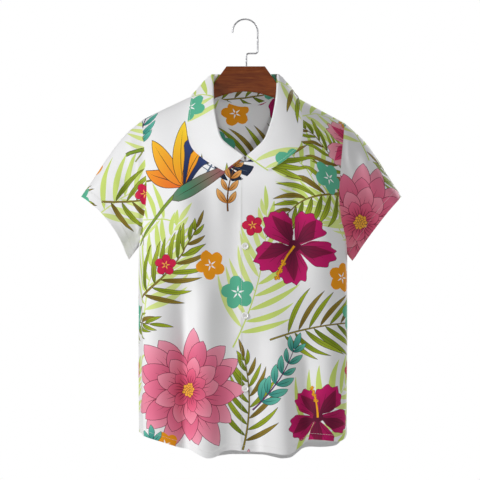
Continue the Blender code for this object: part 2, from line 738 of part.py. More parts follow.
def sew(pieces):
    """Give every piece its inner points, with mitred rims and half a gap at each seam."""
    for piece in pieces.values():
        piece["inner"] = piece["outer"] - piece["normal"] * WALL
        piece["shift"] = np.zeros_like(piece["outer"])
    shared = {}
    seams = seam_list()
    for seam in seams:
        first, rows, cols = seam[0]
        points = pieces[first]["outer"][rows, cols].copy()
        for name, rows, cols in seam:
            piece = pieces[name]
            piece["outer"][rows, cols] = points
            for k in range(len(points)):
                key = tuple(np.round(points[k], 3))
                normal = piece["normal"][rows[k], cols[k]]
                shared.setdefault(key, {"normals": {}, "places": set()})
                shared[key]["normals"][name] = normal
                shared[key]["places"].add((name, int(rows[k]), int(cols[k])))
    rims = {}
    for key, entry in shared.items():
        normals = np.array(list(entry["normals"].values()))
        rim = unit(normals.sum(axis=0))
        spread = max(float(np.mean(normals @ rim)), MITRE_LIMIT)
        for name, row, col in entry["places"]:
            piece = pieces[name]
            piece["inner"][row, col] = piece["outer"][row, col] - rim * WALL / spread
            rims[(name, row, col)] = rim
    for seam in seams:
        for name, rows, cols in seam:
            piece = pieces[name]
            points = piece["outer"][rows, cols]
            rim = np.array([rims[(name, int(r), int(c))] for r, c in zip(rows, cols)])
            inside = piece["outer"][inside_rows(rows), inside_cols(rows, cols)]
            gap = ARMHOLE_GAP if any(edge[0].startswith("sleeve") for edge in seam) else SEAM_GAP
            piece["shift"][rows, cols] += inward_shift(points, rim, inside, gap)
    for piece in pieces.values():
        piece["outer"] = piece["outer"] + piece["shift"]
        piece["inner"] = piece["inner"] + piece["shift"]
    return pieces


def inside_rows(rows):
    """Row of the next point into the piece, where the seam runs along a row."""
    if np.ptp(rows) > 0:
        return rows
    return rows + (1 if rows[0] == 0 else -1)


def inside_cols(rows, cols):
    """Column of the next point into the piece, where the seam runs along a column."""
    if np.ptp(rows) == 0:
        return cols
    return cols + (1 if cols[0] == 0 else -1)


def cloth_pieces():
    """Outer and inner grids of every cloth piece."""
    panels = torso_panels()
    pieces = {name: {"outer": grid, "normal": outward} for name, (grid, outward) in panels.items()}
    for side, sign in SIDES.items():
        ring = armhole_ring(panels, side)
        grid, turn = sleeve_grid(ring, side)
        outward = ring_normals(grid, sign)
        grid = sleeve_folds(grid, turn, outward)
        pieces["sleeve_" + side] = {"outer": grid, "normal": outward, "ring": True}
    pieces["collar"] = collar_piece(pieces)
    return sew(pieces)


def collar_piece(pieces):
    """The collar's underside grid, rows along the neckline, columns from seam to outer edge."""
    halves = []
    half = COLUMNS_FRONT + COLUMNS_NECK
    for side, sign in SIDES.items():
        back, front = pieces["back"], pieces["front_" + side]
        cols = half + sign * np.arange(0, COLUMNS_NECK + 1)
        rows = np.arange(ROWS_LOW + ROWS_UP - 1, ROWS_LOW + ROWS_STAND, -1)
        seam = np.concatenate([back["outer"][-1, cols], front["outer"][rows, 0]])
        seam_out = np.concatenate([back["normal"][-1, cols], front["normal"][rows, 0]])
        halves.append(collar_half(seam, seam_out, side))
    grid = np.concatenate([halves[0][::-1], halves[1][1:]], axis=0)
    grid = clear_of_body(grid, FALL_FIRST, FALL_CLEARANCE)
    towards_face = unit(np.cross(np.gradient(grid, axis=0), np.gradient(grid, axis=1)))
    middle = grid.shape[0] // 2
    if towards_face[middle, -1].dot((0, 1, 0)) < 0:
        towards_face = -towards_face
    return {"outer": grid, "normal": -towards_face}


# ---------------------------------------------------------------- objects
def new_collection():
    for old in list(bpy.data.objects):
        bpy.data.objects.remove(old, do_unlink=True)
    collection = bpy.data.collections.new("hawaiian_shirt_on_hanger")
    bpy.context.scene.collection.children.link(collection)
    return collection


def material(name, color, roughness, metallic=0.0):
    made = bpy.data.materials.new(name)
    made.use_nodes = True
    shader = made.node_tree.nodes["Principled BSDF"]
    shader.inputs["Base Color"].default_value = (*color, 1)
    shader.inputs["Roughness"].default_value = roughness
    shader.inputs["Metallic"].default_value = metallic
    made.diffuse_color = (*color, 1)
    return made


def place(collection, name, mesh, finish):
    piece = bpy.data.objects.new(name, mesh)
    mesh.materials.append(finish)
    collection.objects.link(piece)
    return piece


def shirt(collection):
    cloth = material("printed_cloth", (0.86, 0.86, 0.86), 0.72)
    placed = {}
    for name, piece in cloth_pieces().items():
        mesh = wall_mesh("shirt_" + name, piece["outer"], piece["inner"], piece.get("ring", False))
        placed[name] = place(collection, "shirt_" + name, mesh, cloth)
    return placed


def button_mesh(name):
    """Turned button with a flat back and a raised rim, about its own Z axis."""
    radius, thick, rim = BUTTON_RADIUS * MM, BUTTON_THICK * MM, BUTTON_RIM * MM
    profile = [(0, -thick / 2), (radius - rim, -thick / 2), (radius, -thick * 0.1), (radius, thick * 0.2),
               (radius - rim, thick / 2), (radius - 3 * rim, thick * 0.2), (0, thick * 0.2)]
    mesh = bpy.data.meshes.new(name)
    model = bmesh.new()
    verts = [model.verts.new((x, 0, z)) for x, z in profile]
    edges = [model.edges.new(pair) for pair in zip(verts[:-1], verts[1:])]
    bmesh.ops.spin(model, geom=verts + edges, cent=(0, 0, 0), axis=(0, 0, 1), steps=BUTTON_STEPS,
                   angle=2 * math.pi, use_merge=True)
    bmesh.ops.remove_doubles(model, verts=model.verts, dist=1e-6)
    bmesh.ops.recalc_face_normals(model, faces=model.faces)
    model.to_mesh(mesh)
    model.free()
    mesh.shade_smooth()
    mesh.set_sharp_from_angle(angle=math.radians(40))
    return mesh


def buttons(collection, front):
    """Buttons lie against the left front on the button line, facing forward."""
    finish = material("button_resin", (0.9, 0.9, 0.89), 0.3)
    mesh = button_mesh("shirt_button")
    mesh.materials.append(finish)
    skin = BVHTree.FromObject(front, bpy.context.evaluated_depsgraph_get())
    for name, z in BUTTONS.items():
        footprint = [Vector((BUTTON_X * MM, -1, z * MM))]
        for k in range(8):
            turn = k * math.pi / 4
            footprint.append(Vector(((BUTTON_X + BUTTON_RADIUS * math.cos(turn)) * MM, -1,
                                     (z + BUTTON_RADIUS * math.sin(turn)) * MM)))
        nearest = min(skin.ray_cast(start, Vector((0, 1, 0)))[0].y for start in footprint)
        piece = bpy.data.objects.new("shirt_button_" + name, mesh)
        piece.location = (BUTTON_X * MM, nearest - (SEAM_GAP + BUTTON_THICK / 2) * MM, z * MM)
        piece.rotation_euler = (math.pi / 2, 0, 0)
        collection.objects.link(piece)


def wood_sections():
    """Sections of the board along X: X, top, foot, corner radius, from the right tip to the left."""
    sections = []
    for side, sign in (("right", -1), ("left", 1)):
        xs = np.linspace(ARM_TIP_X, ARM_ROOT_X, ARM_SECTIONS) * sign
        top = ridge(xs) - WALL - ARM_SEAT
        heights = np.linspace(ARM_HEIGHTS[1], ARM_HEIGHTS[0], ARM_SECTIONS)
        tip = (xs[0] + sign * ARM_TIP_ROUND, top[0] - ARM_TIP_ROUND, top[0] - heights[0] + ARM_TIP_ROUND)
        arm = [(*tip, ARM_CORNER)]
        arm += [(x, t, t - h, ARM_CORNER) for x, t, h in zip(xs, top, heights)]
        shoulder_x = WOOD_SHOULDER[0 if side == "right" else 1]
        low_x = WOOD_LOW[0 if side == "right" else 1]
        top_x = WOOD_TOP[0 if side == "right" else 1]
        foot = np.interp(abs(shoulder_x), (abs(low_x), abs(xs[-1])), (WOOD_LOW_Z, top[-1] - heights[-1]))
        notch_foot = top[-1] - heights[-1] + WOOD_NOTCH_RISE
        arm.append((sign * WOOD_NOTCH_X, WOOD_NOTCH_Z, notch_foot, ARM_CORNER))
        arm.append((shoulder_x, WOOD_SHOULDER_Z, foot, WOOD_CORNER))
        slope = (WOOD_TOP_Z - WOOD_SHOULDER_Z) / (abs(top_x) - abs(shoulder_x))
        arm.append((low_x, WOOD_SHOULDER_Z + slope * (abs(low_x) - abs(shoulder_x)), WOOD_LOW_Z, WOOD_CORNER))
        middle_x = (low_x + top_x) / 2
        arm.append((middle_x, (arm[-1][1] + WOOD_TOP_Z) / 2, arch_z(middle_x), WOOD_CORNER))
        arm.append((top_x, WOOD_TOP_Z, arch_z(top_x), WOOD_CORNER))
        sections.append(arm)
    inner = [(x, WOOD_TOP_Z, arch_z(x), WOOD_CORNER) for x in np.linspace(*WOOD_TOP, 6)[1:-1]]
    return sections[0] + inner + sections[1][::-1]


def arch_z(x):
    """Foot of the middle block, an arch between its lower corners."""
    part = (x - WOOD_LOW[0]) / (WOOD_LOW[1] - WOOD_LOW[0])
    return WOOD_LOW_Z + (WOOD_ARCH_Z - WOOD_LOW_Z) * math.sin(math.pi * part)


def section_ring(x, top, foot, corner):
    """Rounded rectangle across the board, as points."""
    ring = []
    for quarter, (y_sign, z) in enumerate(((1, top), (-1, top), (-1, foot), (1, foot))):
        z_sign = 1 if z == top else -1
        for step in range(CORNER_STEPS + 1):
            turn = math.pi / 2 * (quarter + step / CORNER_STEPS)
            ring.append((x, y_sign * (WOOD_HALF_THICK - corner) + corner * math.cos(turn),
                         z - z_sign * corner + corner * math.sin(turn)))
    return ring


def hanger_wood(collection):
    """Flat board: middle block with chamfered shoulders and an arched foot, and an arm each side."""
    mesh = bpy.data.meshes.new("hanger_wood")
    model = bmesh.new()
    rings = []
    for section in wood_sections():
        rings.append([model.verts.new(Vector(point) * MM) for point in section_ring(*section)])
    for first, second in zip(rings[:-1], rings[1:]):
        for k in range(len(first)):
            n = (k + 1) % len(first)
            model.faces.new((first[k], first[n], second[n], second[k]))
    model.faces.new(rings[0])
    model.faces.new(rings[-1][::-1])
    bmesh.ops.recalc_face_normals(model, faces=model.faces)
    model.to_mesh(mesh)
    model.free()
    return place(collection, "hanger_wood", mesh, material("hanger_wood", (0.2, 0.05, 0.02), 0.35))


def bore(wood):
    """Hole in the board's top for the hook's stem."""
    cutters = bpy.data.collections.new("cutters")
    bpy.context.scene.collection.children.link(cutters)
    mesh = bpy.data.meshes.new("bore_cutter")
    model = bmesh.new()
    bmesh.ops.create_cone(model, cap_ends=True, segments=16, radius1=(WIRE_RADIUS + BORE_CLEARANCE) * MM,
                          radius2=(WIRE_RADIUS + BORE_CLEARANCE) * MM, depth=2 * HOOK_SOCKET * MM)
    model.to_mesh(mesh)
    model.free()
    cutter = bpy.data.objects.new("bore_cutter", mesh)
    cutter.location = (HOOK_STEM_X * MM, 0, WOOD_TOP_Z * MM)
    cutter.hide_render = True
    cutter.display_type = "WIRE"
    cutters.objects.link(cutter)
    cut = wood.modifiers.new("bore", "BOOLEAN")
    cut.object = cutter
    cut.solver = "EXACT"


def hook_points():
    """Centre line of the wire: stem, crank, riser and arc, in X and Z."""
    top = WIRE_RADIUS - HOOK_ARC_RADIUS
    start = (HOOK_STEM_X, WOOD_TOP_Z - HOOK_SOCKET + 1)
    points = [start, (HOOK_STEM_X, (start[1] + HOOK_CRANK_Z) / 2)]
    for k in range(6):
        turn = math.radians(180 - 18 * k)
        points.append((HOOK_STEM_X + HOOK_BEND + HOOK_BEND * math.cos(turn),
                       HOOK_CRANK_Z - HOOK_BEND + HOOK_BEND * math.sin(turn)))
    for k in range(6):
        turn = math.radians(-90 + 18 * k)
        points.append((HOOK_ARC_RADIUS - HOOK_BEND + HOOK_BEND * math.cos(turn),
                       HOOK_CRANK_Z + HOOK_BEND + HOOK_BEND * math.sin(turn)))
    for k in range(21):
        turn = math.radians(HOOK_TURN * k / 20)
        points.append((HOOK_ARC_RADIUS * math.cos(turn), top + HOOK_ARC_RADIUS * math.sin(turn)))
    return points


def hanger_hook(collection):
    curve = bpy.data.curves.new("hanger_hook", "CURVE")
    curve.dimensions = "3D"
    curve.bevel_depth = WIRE_RADIUS * MM
    curve.bevel_resolution = 2
    curve.use_fill_caps = True
    points = hook_points()
    line = curve.splines.new("POLY")
    line.points.add(len(points) - 1)
    for point, (x, z) in zip(line.points, points):
        point.co = (x * MM, 0, z * MM, 1)
    hook = bpy.data.objects.new("hanger_hook", curve)
    curve.materials.append(material("hook_wire", (0.75, 0.75, 0.76), 0.25, 1.0))
    collection.objects.link(hook)


def main():
    collection = new_collection()
    cloth = shirt(collection)
    buttons(collection, cloth["front_left"])
    wood = hanger_wood(collection)
    bore(wood)
    hanger_hook(collection)


main()
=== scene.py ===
"""Looks of the hawaiian shirt on its hanger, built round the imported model.

Lengths are in millimetres and become metres where a mesh is made. The panels repeat the frame's own
surfaces at a finer step. Each is then laid flat in the coordinates of its cut (s across, t up), the
print is drawn there as outlines, and one triangulation that keeps every outline goes back on to the
surface as a thin shell, so the print's edges are edges of the mesh.
"""

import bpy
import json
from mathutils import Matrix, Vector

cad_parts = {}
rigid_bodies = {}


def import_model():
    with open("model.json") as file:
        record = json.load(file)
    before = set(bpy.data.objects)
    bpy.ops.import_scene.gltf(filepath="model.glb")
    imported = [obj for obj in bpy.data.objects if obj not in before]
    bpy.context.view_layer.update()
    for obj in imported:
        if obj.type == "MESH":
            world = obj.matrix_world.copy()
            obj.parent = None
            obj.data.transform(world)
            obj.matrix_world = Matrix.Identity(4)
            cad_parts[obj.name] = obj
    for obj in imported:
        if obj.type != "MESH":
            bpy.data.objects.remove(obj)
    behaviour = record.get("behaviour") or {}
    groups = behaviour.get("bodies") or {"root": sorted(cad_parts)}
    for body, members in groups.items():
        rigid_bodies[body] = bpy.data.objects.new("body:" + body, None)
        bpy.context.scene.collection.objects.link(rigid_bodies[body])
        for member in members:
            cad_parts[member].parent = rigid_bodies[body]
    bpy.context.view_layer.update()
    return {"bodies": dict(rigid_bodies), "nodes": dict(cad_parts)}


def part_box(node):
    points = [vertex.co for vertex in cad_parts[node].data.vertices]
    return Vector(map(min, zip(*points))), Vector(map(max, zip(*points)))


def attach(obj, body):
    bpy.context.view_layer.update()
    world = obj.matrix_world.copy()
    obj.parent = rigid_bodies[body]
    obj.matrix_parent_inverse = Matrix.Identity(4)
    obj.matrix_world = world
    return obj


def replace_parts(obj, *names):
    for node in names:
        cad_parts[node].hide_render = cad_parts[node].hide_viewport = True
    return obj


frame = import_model()

import itertools
import json
import math

import bpy
import numpy as np
from mathutils import Vector
from mathutils.bvhtree import BVHTree
from mathutils.geometry import delaunay_2d_cdt

for extra in set(bpy.data.objects) - {*frame["bodies"].values(), *frame["nodes"].values()}:
    bpy.data.objects.remove(extra)

MM = 0.001              # metres in a millimetre
DIAGONAL = math.sqrt(0.5)
WALL = 1.6              # cloth wall of the solids
SIDES = {"right": -1, "left": 1}        # the wearer's sides, with the sign of X there


def table(names, *rows):
    """A table's columns by name."""
    return dict(zip(names.split(), np.array(rows, dtype=float).T))


# Torso sections: height, half widths of the wearer's right and left, depths forward and back
TORSO = table(
    "z right left front back",
    (-890, 211, 201, 103, 96),
    (-760, 212, 201, 104, 93),
    (-620, 212, 201, 108, 93),
    (-480, 212, 201, 113, 98),
    (-400, 213, 203, 116, 103),
    (-300, 218, 209, 115, 107),
    (-200, 226, 218, 110, 106),
    (-100, 230, 222, 108, 104),
)
SQUARENESS = 3.3        # exponent of the rounded section

# Shoulder line: distance from the middle, its height on each side
RIDGE = table(
    "x right left",
    (0, -119, -119),
    (40, -126, -127),
    (75, -139, -141),
    (103, -151, -155),
    (140, -168, -175),
    (187, -190.5, -200),
    (210, -203, -213),
    (240, -226, -236),
)
SHOULDER_DROP = {"front": 205, "back": 175}     # height over which the shoulder rounds off
SHOULDER_POWER = 0.62   # how full its rounding is
NECK_POINT_X = 75       # where the neckline meets the shoulder seam
CHEST_Z = -460          # middle of the row that parts the rows to the hem from those to the shoulder
ARMPIT_Z = {"right": -452, "left": -464}
SHOULDER_TIP = 0.665    # how far round the section the armhole sits, 0 at the side seam
SHOULDER_TIP_Z = -205   # height of the section whose width places the shoulder's tip
BEYOND_SIDE_X = 250     # clear of both side seams

# Hem: X, height of the front's edge and of the back's
HEM = table(
    "x front back",
    (-212, -823, -823),
    (-168, -842, -838),
    (-136, -854, -848),
    (-110, -860, -856),
    (-90, -871, -864),
    (-74, -877, -868),
    (-58, -873, -872),
    (-44, -863, -870),
    (-26, -860, -868),
    (0, -863, -868),
    (34, -864, -869),
    (58, -867, -874),
    (74, -870, -877),
    (90, -868, -875),
    (104, -858, -865),
    (116, -849, -856),
    (131, -839, -853),
    (150, -840, -854),
    (178, -843, -851),
    (194, -835, -838),
    (202, -826, -827),
)

# Largest soft folds: X and Z of the upper end, X and Z of the lower end, half width, height
FOLD_FOOT = -880        # folds that reach down to here run out at the hem
FRONT_FOLDS = (
    (-82, -480, -80, -880, 27, 10.5),
    (-128, -500, -121, -880, 17, -9.5),
    (-182, -430, -174, -880, 26, 8.0),
    (-30, -300, -34, -880, 26, -5.5),
    (62, -560, 76, -880, 27, 10.5),
    (18, -600, 18, -880, 22, -5.5),
    (102, -230, 106, -560, 22, -9.0),
    (146, -260, 146, -600, 30, 6.5),
    (116, -600, 122, -880, 22, -9.5),
    (166, -560, 160, -880, 24, 6.0),
    (-130, -260, -108, -540, 30, 8.5),
    (-76, -300, -64, -560, 24, -5.0),
)
BACK_FOLDS = (
    (-60, -300, -88, -880, 32, 6.5),
    (-128, -380, -134, -880, 24, -5.5),
    (4, -420, -14, -880, 30, -5.0),
    (60, -330, 68, -880, 34, 6.0),
    (118, -450, 122, -880, 24, -5.5),
    (158, -560, 160, -880, 24, 4.5),
)
SLEEVE_FOLDS = (        # turn round the sleeve (0 top, 0.25 front), start, end, half width, height
    (0.20, -0.20, 0.75, 0.045, -4.5),
    (0.30, -0.20, 0.85, 0.040, 4.0),
    (0.41, 0.00, 1.30, 0.040, -3.5),
    (0.10, 0.30, 1.30, 0.040, 3.0),
    (0.62, -0.20, 0.90, 0.045, -4.0),
    (0.74, 0.10, 1.30, 0.045, 4.0),
)
SEAM_FADE = 28.0        # folds die out this near a seam
FOLD_EASE = 110.0       # folds grow over this length
SLEEVE_FOLD_EASE = 0.3  # the same, as a part of the sleeve's length

# Sleeves: top and under corners of the cuff, its half depth, and how far its middle is drawn in
CUFFS = {
    "right": {"top": (-327, -354), "under": (-232, -479)},
    "left": {"top": (312, -353), "under": (215, -481)},
}
CUFF_HALF_DEPTH = 55
CUFF_DRAWN_IN = {"right": 14, "left": 3}
CUFF_SQUARE = 0.75      # how squarely the sleeve's lines meet the cuff
SLEEVE_TOP_START = (0.82, -0.57)    # run and drop where the sleeve leaves the shoulder
SLEEVE_END = (0.55, -0.835)         # run and drop where it reaches the cuff
SLEEVE_SWELL = -0.22                # below 0 the sleeve leaves the armhole in a soft valley

# Button stand
LAP_EDGE_X = -10        # free edge of the wearer's left front, on top
UNDER_EDGE_X = 16       # free edge of the wearer's right front, beneath
LAP_EASE = 34           # the under front starts to ease back this far from the edge above it
LAP_EASED = 4           # and has done so this near the edge
LAP_STEP = WALL + 0.7   # how far the under front eases back
COLLAR_END_X = 2.4      # the collar's ends start this far from the middle

# Front neckline seam, under the collar: distance from the middle and height
NECKLINE = table(
    "x z", (0, -283), (14, -277), (30, -266), (47, -249), (58, -225), (66, -195), (72, -163), (75, -140),
)
NECK_BACK_Y = 66        # how far back the neckline seam reaches
NECK_BACK_Z = -160      # height at which that depth is measured

# Roll line of the collar, back to front: half widths on each side, depth, height
ROLL_BACK = table(
    "right left y z",
    (0, 0, 60, -111),
    (34, 34, 52, -110),
    (57, 57, 30, -109),
    (64.5, 65, 4, -109),
)
ROLL_FRONT = table(
    "right left y z",
    (64.5, 65, 4, -109),
    (64, 64, -16, -128),
    (62.5, 61, -44, -158),
    (60, 55, -72, -190),
    (56, 47, -90, -216),
    (48, 38, -102, -237),
    (30, 24, -109, -252),
    (14, 12, -113, -263),
    (3.2, 2.4, -116, -271),
)
# Outer edge of the collar's fall, back and front: distance from the middle, height
FALL_BACK = ((0, -168), (40, -170), (78, -170), (98, -164))
FALL_SHOULDER_X = 106   # where it crosses the shoulder line
FALL_FRONT = ((111, -175), (115, -205), (114, -234), (106, -257), (87, -275), (65, -290), (43, -302))
FALL_KNOTS = 8          # points of its back part before it is smoothed
FALL_CLEARANCE = 1.8    # fall's underside off the panel
FALL_STEPS = (0.12, 0.3, 0.5, 0.7, 0.86, 1.0)       # columns from the roll to the edge
ROLL_RADIUS = 1.5       # inside the fold
FALL_BULGE = 3.5        # how far the fall arches out
FALL_FIRST = 7          # first column of the fall in the collar grid

# Mesh steps
ROWS_LOW = 48           # hem to chest
ROWS_UP = 66            # chest to shoulder
ROWS_STAND = 22         # of those, chest to the neckline's front corner
ROWS_COLLAR = ROWS_UP - ROWS_STAND - 1      # collar's end to neck point
COLUMNS_FRONT = 64      # middle edge to armhole
COLUMNS_NECK = 20       # back neckline, middle to neck point
SLEEVE_RINGS = 36       # steps from armhole to cuff
DENSE = 400             # points of a line before it is divided
CLOSING_POWER = 1.45    # rows draw together towards the shoulder line
BENDING_POWER = 1.5     # how late the rows take up the top edge's shape
SPLINE_STEPS = 24       # between two points of a smoothed line

# Hook: the centre line of its wire
WIRE_RADIUS = 1.5
WOOD_TOP_Z = -92.6      # top of the board
HOOK_SOCKET = 13        # wire inside the board
HOOK_STEM_X = 2.4       # the stem in the board
HOOK_CRANK_Z = -67      # height of the crank between the stem and the arc's riser
HOOK_BEND = 5           # radius of the crank's two bends
HOOK_BEND_POINTS = 13
HOOK_ARC_RADIUS = 25
HOOK_ARC_POINTS = 61
HOOK_TURN = 185         # degrees of the arc


# ---------------------------------------------------------------- curves
def smooth(x, xs, ys):
    """Smooth interpolation through table points, with level ends and no overshoot."""
    xs, ys = np.asarray(xs, float), np.asarray(ys, float)
    if xs[0] > xs[-1]:
        xs, ys = xs[::-1], ys[::-1]
    steps = np.diff(xs)
    slopes = np.diff(ys) / steps
    inner = np.where(slopes[:-1] * slopes[1:] > 0,
                     2 * slopes[:-1] * slopes[1:] / (slopes[:-1] + slopes[1:] + 1e-12), 0.0)
    ends = np.concatenate(([slopes[0]], inner, [slopes[-1]]))
    x = np.clip(x, xs[0], xs[-1])
    i = np.clip(np.searchsorted(xs, x, side="right") - 1, 0, len(steps) - 1)
    t = (x - xs[i]) / steps[i]
    h = steps[i]
    return ((1 + 2 * t) * (1 - t) ** 2 * ys[i] + t * (1 - t) ** 2 * h * ends[i]
            + t * t * (3 - 2 * t) * ys[i + 1] + t * t * (t - 1) * h * ends[i + 1])


def closed(line):
    """A ring's points with the first one again at the end."""
    return np.concatenate([line, line[:1]])


def lengths(points):
    """Length of a line up to each of its points."""
    steps = np.linalg.norm(np.diff(points, axis=0), axis=1)
    return np.concatenate(([0.0], np.cumsum(steps)))


def read(field, run, at):
    """A line's rows, known at the places run, read at the places at."""
    return np.stack([np.interp(at, run, column) for column in field.T], axis=1)


def along(points, parts):
    """Points of a line at the given parts of its length."""
    run = lengths(points)
    return read(points, run, np.asarray(parts) * run[-1])


def close_at_end(count):
    """Parts of a length, 0 to 1, that draw together towards the end."""
    return 1 - (1 - np.linspace(0, 1, count + 1)) ** CLOSING_POWER


def unit(v):
    return v / np.maximum(np.linalg.norm(v, axis=-1, keepdims=True), 1e-12)


def eased(part):
    """A part from 0 to 1 that starts and ends level."""
    return part * part * (3 - 2 * part)


# ---------------------------------------------------------------- the torso's surface
def by_side(x, columns, key, at):
    """A table's right column where X is negative, its left column elsewhere."""
    right, left = (smooth(at, columns[key], columns[side]) for side in SIDES)
    return np.where(x < 0, right, left)


def half_width(x, z):
    return by_side(x, TORSO, "z", z)


def ridge(x):
    """Height of the shoulder line."""
    return by_side(x, RIDGE, "x", np.abs(x))


def part_out(x, z):
    """How far out X lies, 0 in the middle and 1 at the side seam."""
    return np.clip(np.abs(x) / half_width(x, z), 0, 1)


def section(x, z):
    """Depth of the rounded section at X, as a part of its depth in the middle."""
    return (1 - part_out(x, z) ** SQUARENESS) ** (1 / SQUARENESS)


def depth(x, z, face, lift=0.0):
    """How far the face stands off the X-Z plane; lift gives a surface that far outside it."""
    x, z = np.asarray(x, float), np.asarray(z, float)
    fall = np.clip((ridge(x) - (z - lift)) / SHOULDER_DROP[face], 0, 1)
    rounding = (1 - (1 - fall) ** 2) ** SHOULDER_POWER
    return smooth(z, TORSO["z"], TORSO[face]) * section(x, z) * rounding + lift


def hem(x, face):
    return smooth(x, HEM["x"], HEM[face])


def armhole(side):
    """Armhole seam in the X-Z plane, armpit to shoulder tip, as X and Z arrays."""
    turn = np.linspace(math.pi, 0, DENSE)
    sign = SIDES[side]
    tip_z = ridge(sign * half_width(sign, SHOULDER_TIP_Z) * tip_part(1.0))
    z = ARMPIT_Z[side] + (tip_z - ARMPIT_Z[side]) * (1 + np.cos(turn)) / 2
    round_to = np.where(turn > math.pi / 2, np.sin(turn), 1.0)
    x = sign * half_width(sign, z) * tip_part(round_to)
    z[-1] = ridge(x[-1])
    return x, z


def tip_part(round_to):
    """Where the armhole stands between middle and side seam, as a part of the half width."""
    return (1 - (SHOULDER_TIP * round_to) ** SQUARENESS) ** (1 / SQUARENESS)


def folds(x, z, rows):
    """Sum of the soft folds at points of a panel."""
    total = np.zeros_like(x)
    for x_top, z_top, x_low, z_low, width, height in rows:
        part = (z_top - z) / (z_top - z_low)
        centre = x_top + (x_low - x_top) * part
        below = np.clip((z_top - z) / FOLD_EASE, 0, 1)
        above = np.clip((z - z_low) / FOLD_EASE, 0, 1) if z_low > FOLD_FOOT else 1.0
        total += height * (eased(below) * above) * np.exp(-((x - centre) / width) ** 2)
    return total


# ---------------------------------------------------------------- torso panels as grids
def angle_of(x, z):
    """Angle that stands for X on a row, 0 in the middle."""
    return np.sign(x) * np.arcsin(np.clip(part_out(x, z) ** (SQUARENESS / 2), 0, 1))


def row_points(start, end, level, face):
    """One row of a panel from start to end (X, Z), evenly spaced later along its length.

    level is a function of X that gives the row's height.
    """
    first = angle_of(start[0], start[1])
    last = angle_of(end[0], end[1])
    angles = np.linspace(first, last, DENSE)
    middle_z = (start[1] + end[1]) / 2
    x = np.sign(angles) * half_width(angles, middle_z) * np.abs(np.sin(angles)) ** (2 / SQUARENESS)
    x = start[0] + (x - x[0]) * (end[0] - start[0]) / (x[-1] - x[0])
    z = level(x)
    y = depth(x, z, face) * (-1 if face == "front" else 1)
    return np.stack([x, y, z], axis=1)


def half_panel(side, face, inner_x):
    """Grid of one half of the torso, rows from hem to shoulder, columns from the middle out.

    On the front the middle edge climbs the neckline; on the back the top row holds it.
    """
    sign = SIDES[side]
    arm_x, arm_z = armhole(side)
    arm_y = depth(arm_x, arm_z, face)
    arm = along(np.stack([arm_x, arm_y, arm_z], axis=1), close_at_end(ROWS_UP))
    side_x = sign * float(half_width(sign, hem(sign * BEYOND_SIDE_X, face)))
    side_z = float(hem(side_x, face))
    inner = inner_edge(side, face, inner_x)
    top = top_level(side, face)
    columns = COLUMNS_FRONT + (0 if face == "front" else COLUMNS_NECK)
    rows = []
    for low in range(ROWS_LOW):
        part = low / ROWS_LOW
        start_z = (1 - part) * hem(inner_x, face) + part * CHEST_Z
        end_z = (1 - part) * side_z + part * ARMPIT_Z[side]
        end_x = sign * float(half_width(sign, end_z))

        def level(x, part=part, end_x=end_x):
            chest = CHEST_Z + (ARMPIT_Z[side] - CHEST_Z) * np.clip(np.abs(x / end_x), 0, 1)
            return (1 - part) * hem(x * side_x / end_x, face) + part * chest

        line = row_points((inner_x, start_z), (end_x, end_z), level, face)
        rows.append(along(line, np.linspace(0, 1, columns + 1)))
    for up in range(ROWS_UP + 1):
        part = up / ROWS_UP
        start, end = inner[up], (arm[up][0], arm[up][2])
        bend = part ** BENDING_POWER

        def level(x, start=start, end=end, bend=bend):
            q = np.clip((x - start[0]) / (end[0] - start[0]), 0, 1)
            straight = start[1] + (end[1] - start[1]) * q
            drop = (top(start[0]) - start[1]) * (1 - q) + (top(end[0]) - end[1]) * q
            return (1 - bend) * straight + bend * (top(x) - drop)

        line = row_points(start, end, level, face)
        rows.append(along(line, column_parts(line, face, part)))
    grid = np.array(rows)
    grid[ROWS_LOW:, -1] = np.stack([arm[:, 0], arm[:, 1] * (-1 if face == "front" else 1), arm[:, 2]], 1)
    return grid


def column_parts(line, face, part):
    """Where the columns stand along a row; on the back one of them reaches the neck point."""
    if face == "front":
        return np.linspace(0, 1, COLUMNS_FRONT + 1)
    even = np.linspace(0, 1, COLUMNS_FRONT + COLUMNS_NECK + 1)
    run = lengths(line)
    at_neck = np.interp(NECK_POINT_X, np.abs(line[:, 0]), run / run[-1])
    share = COLUMNS_NECK / (COLUMNS_FRONT + COLUMNS_NECK)
    held = np.interp(even, (0, share, 1), (0, at_neck, 1))
    return even + (held - even) * part ** 2


def inner_edge(side, face, inner_x):
    """(X, Z) of a panel's middle edge for each row above the chest.

    On the front it climbs the button stand, turns in to the collar's end and follows the neckline.
    """
    sign = SIDES[side]
    if face == "back":
        top = float(top_level(side, face)(np.array([0.0]))[0])
        return [(0.0, CHEST_Z + (top - CHEST_Z) * rise) for rise in close_at_end(ROWS_UP)]
    start_z = float(neckline_z(0.0))
    stand = [(inner_x, CHEST_Z + (start_z - CHEST_Z) * k / ROWS_STAND) for k in range(ROWS_STAND + 1)]
    x = np.linspace(sign * COLLAR_END_X, sign * NECK_POINT_X, DENSE)
    z = neckline_z(np.abs(x))
    z[-1] = ridge(x[-1])
    line = np.stack([x, depth(x, z, face), z], axis=1)
    rise = along(line, close_at_end(ROWS_COLLAR))
    return stand + [(p[0], p[2]) for p in rise]


def neckline_z(distance):
    return smooth(distance, NECKLINE["x"], NECKLINE["z"])


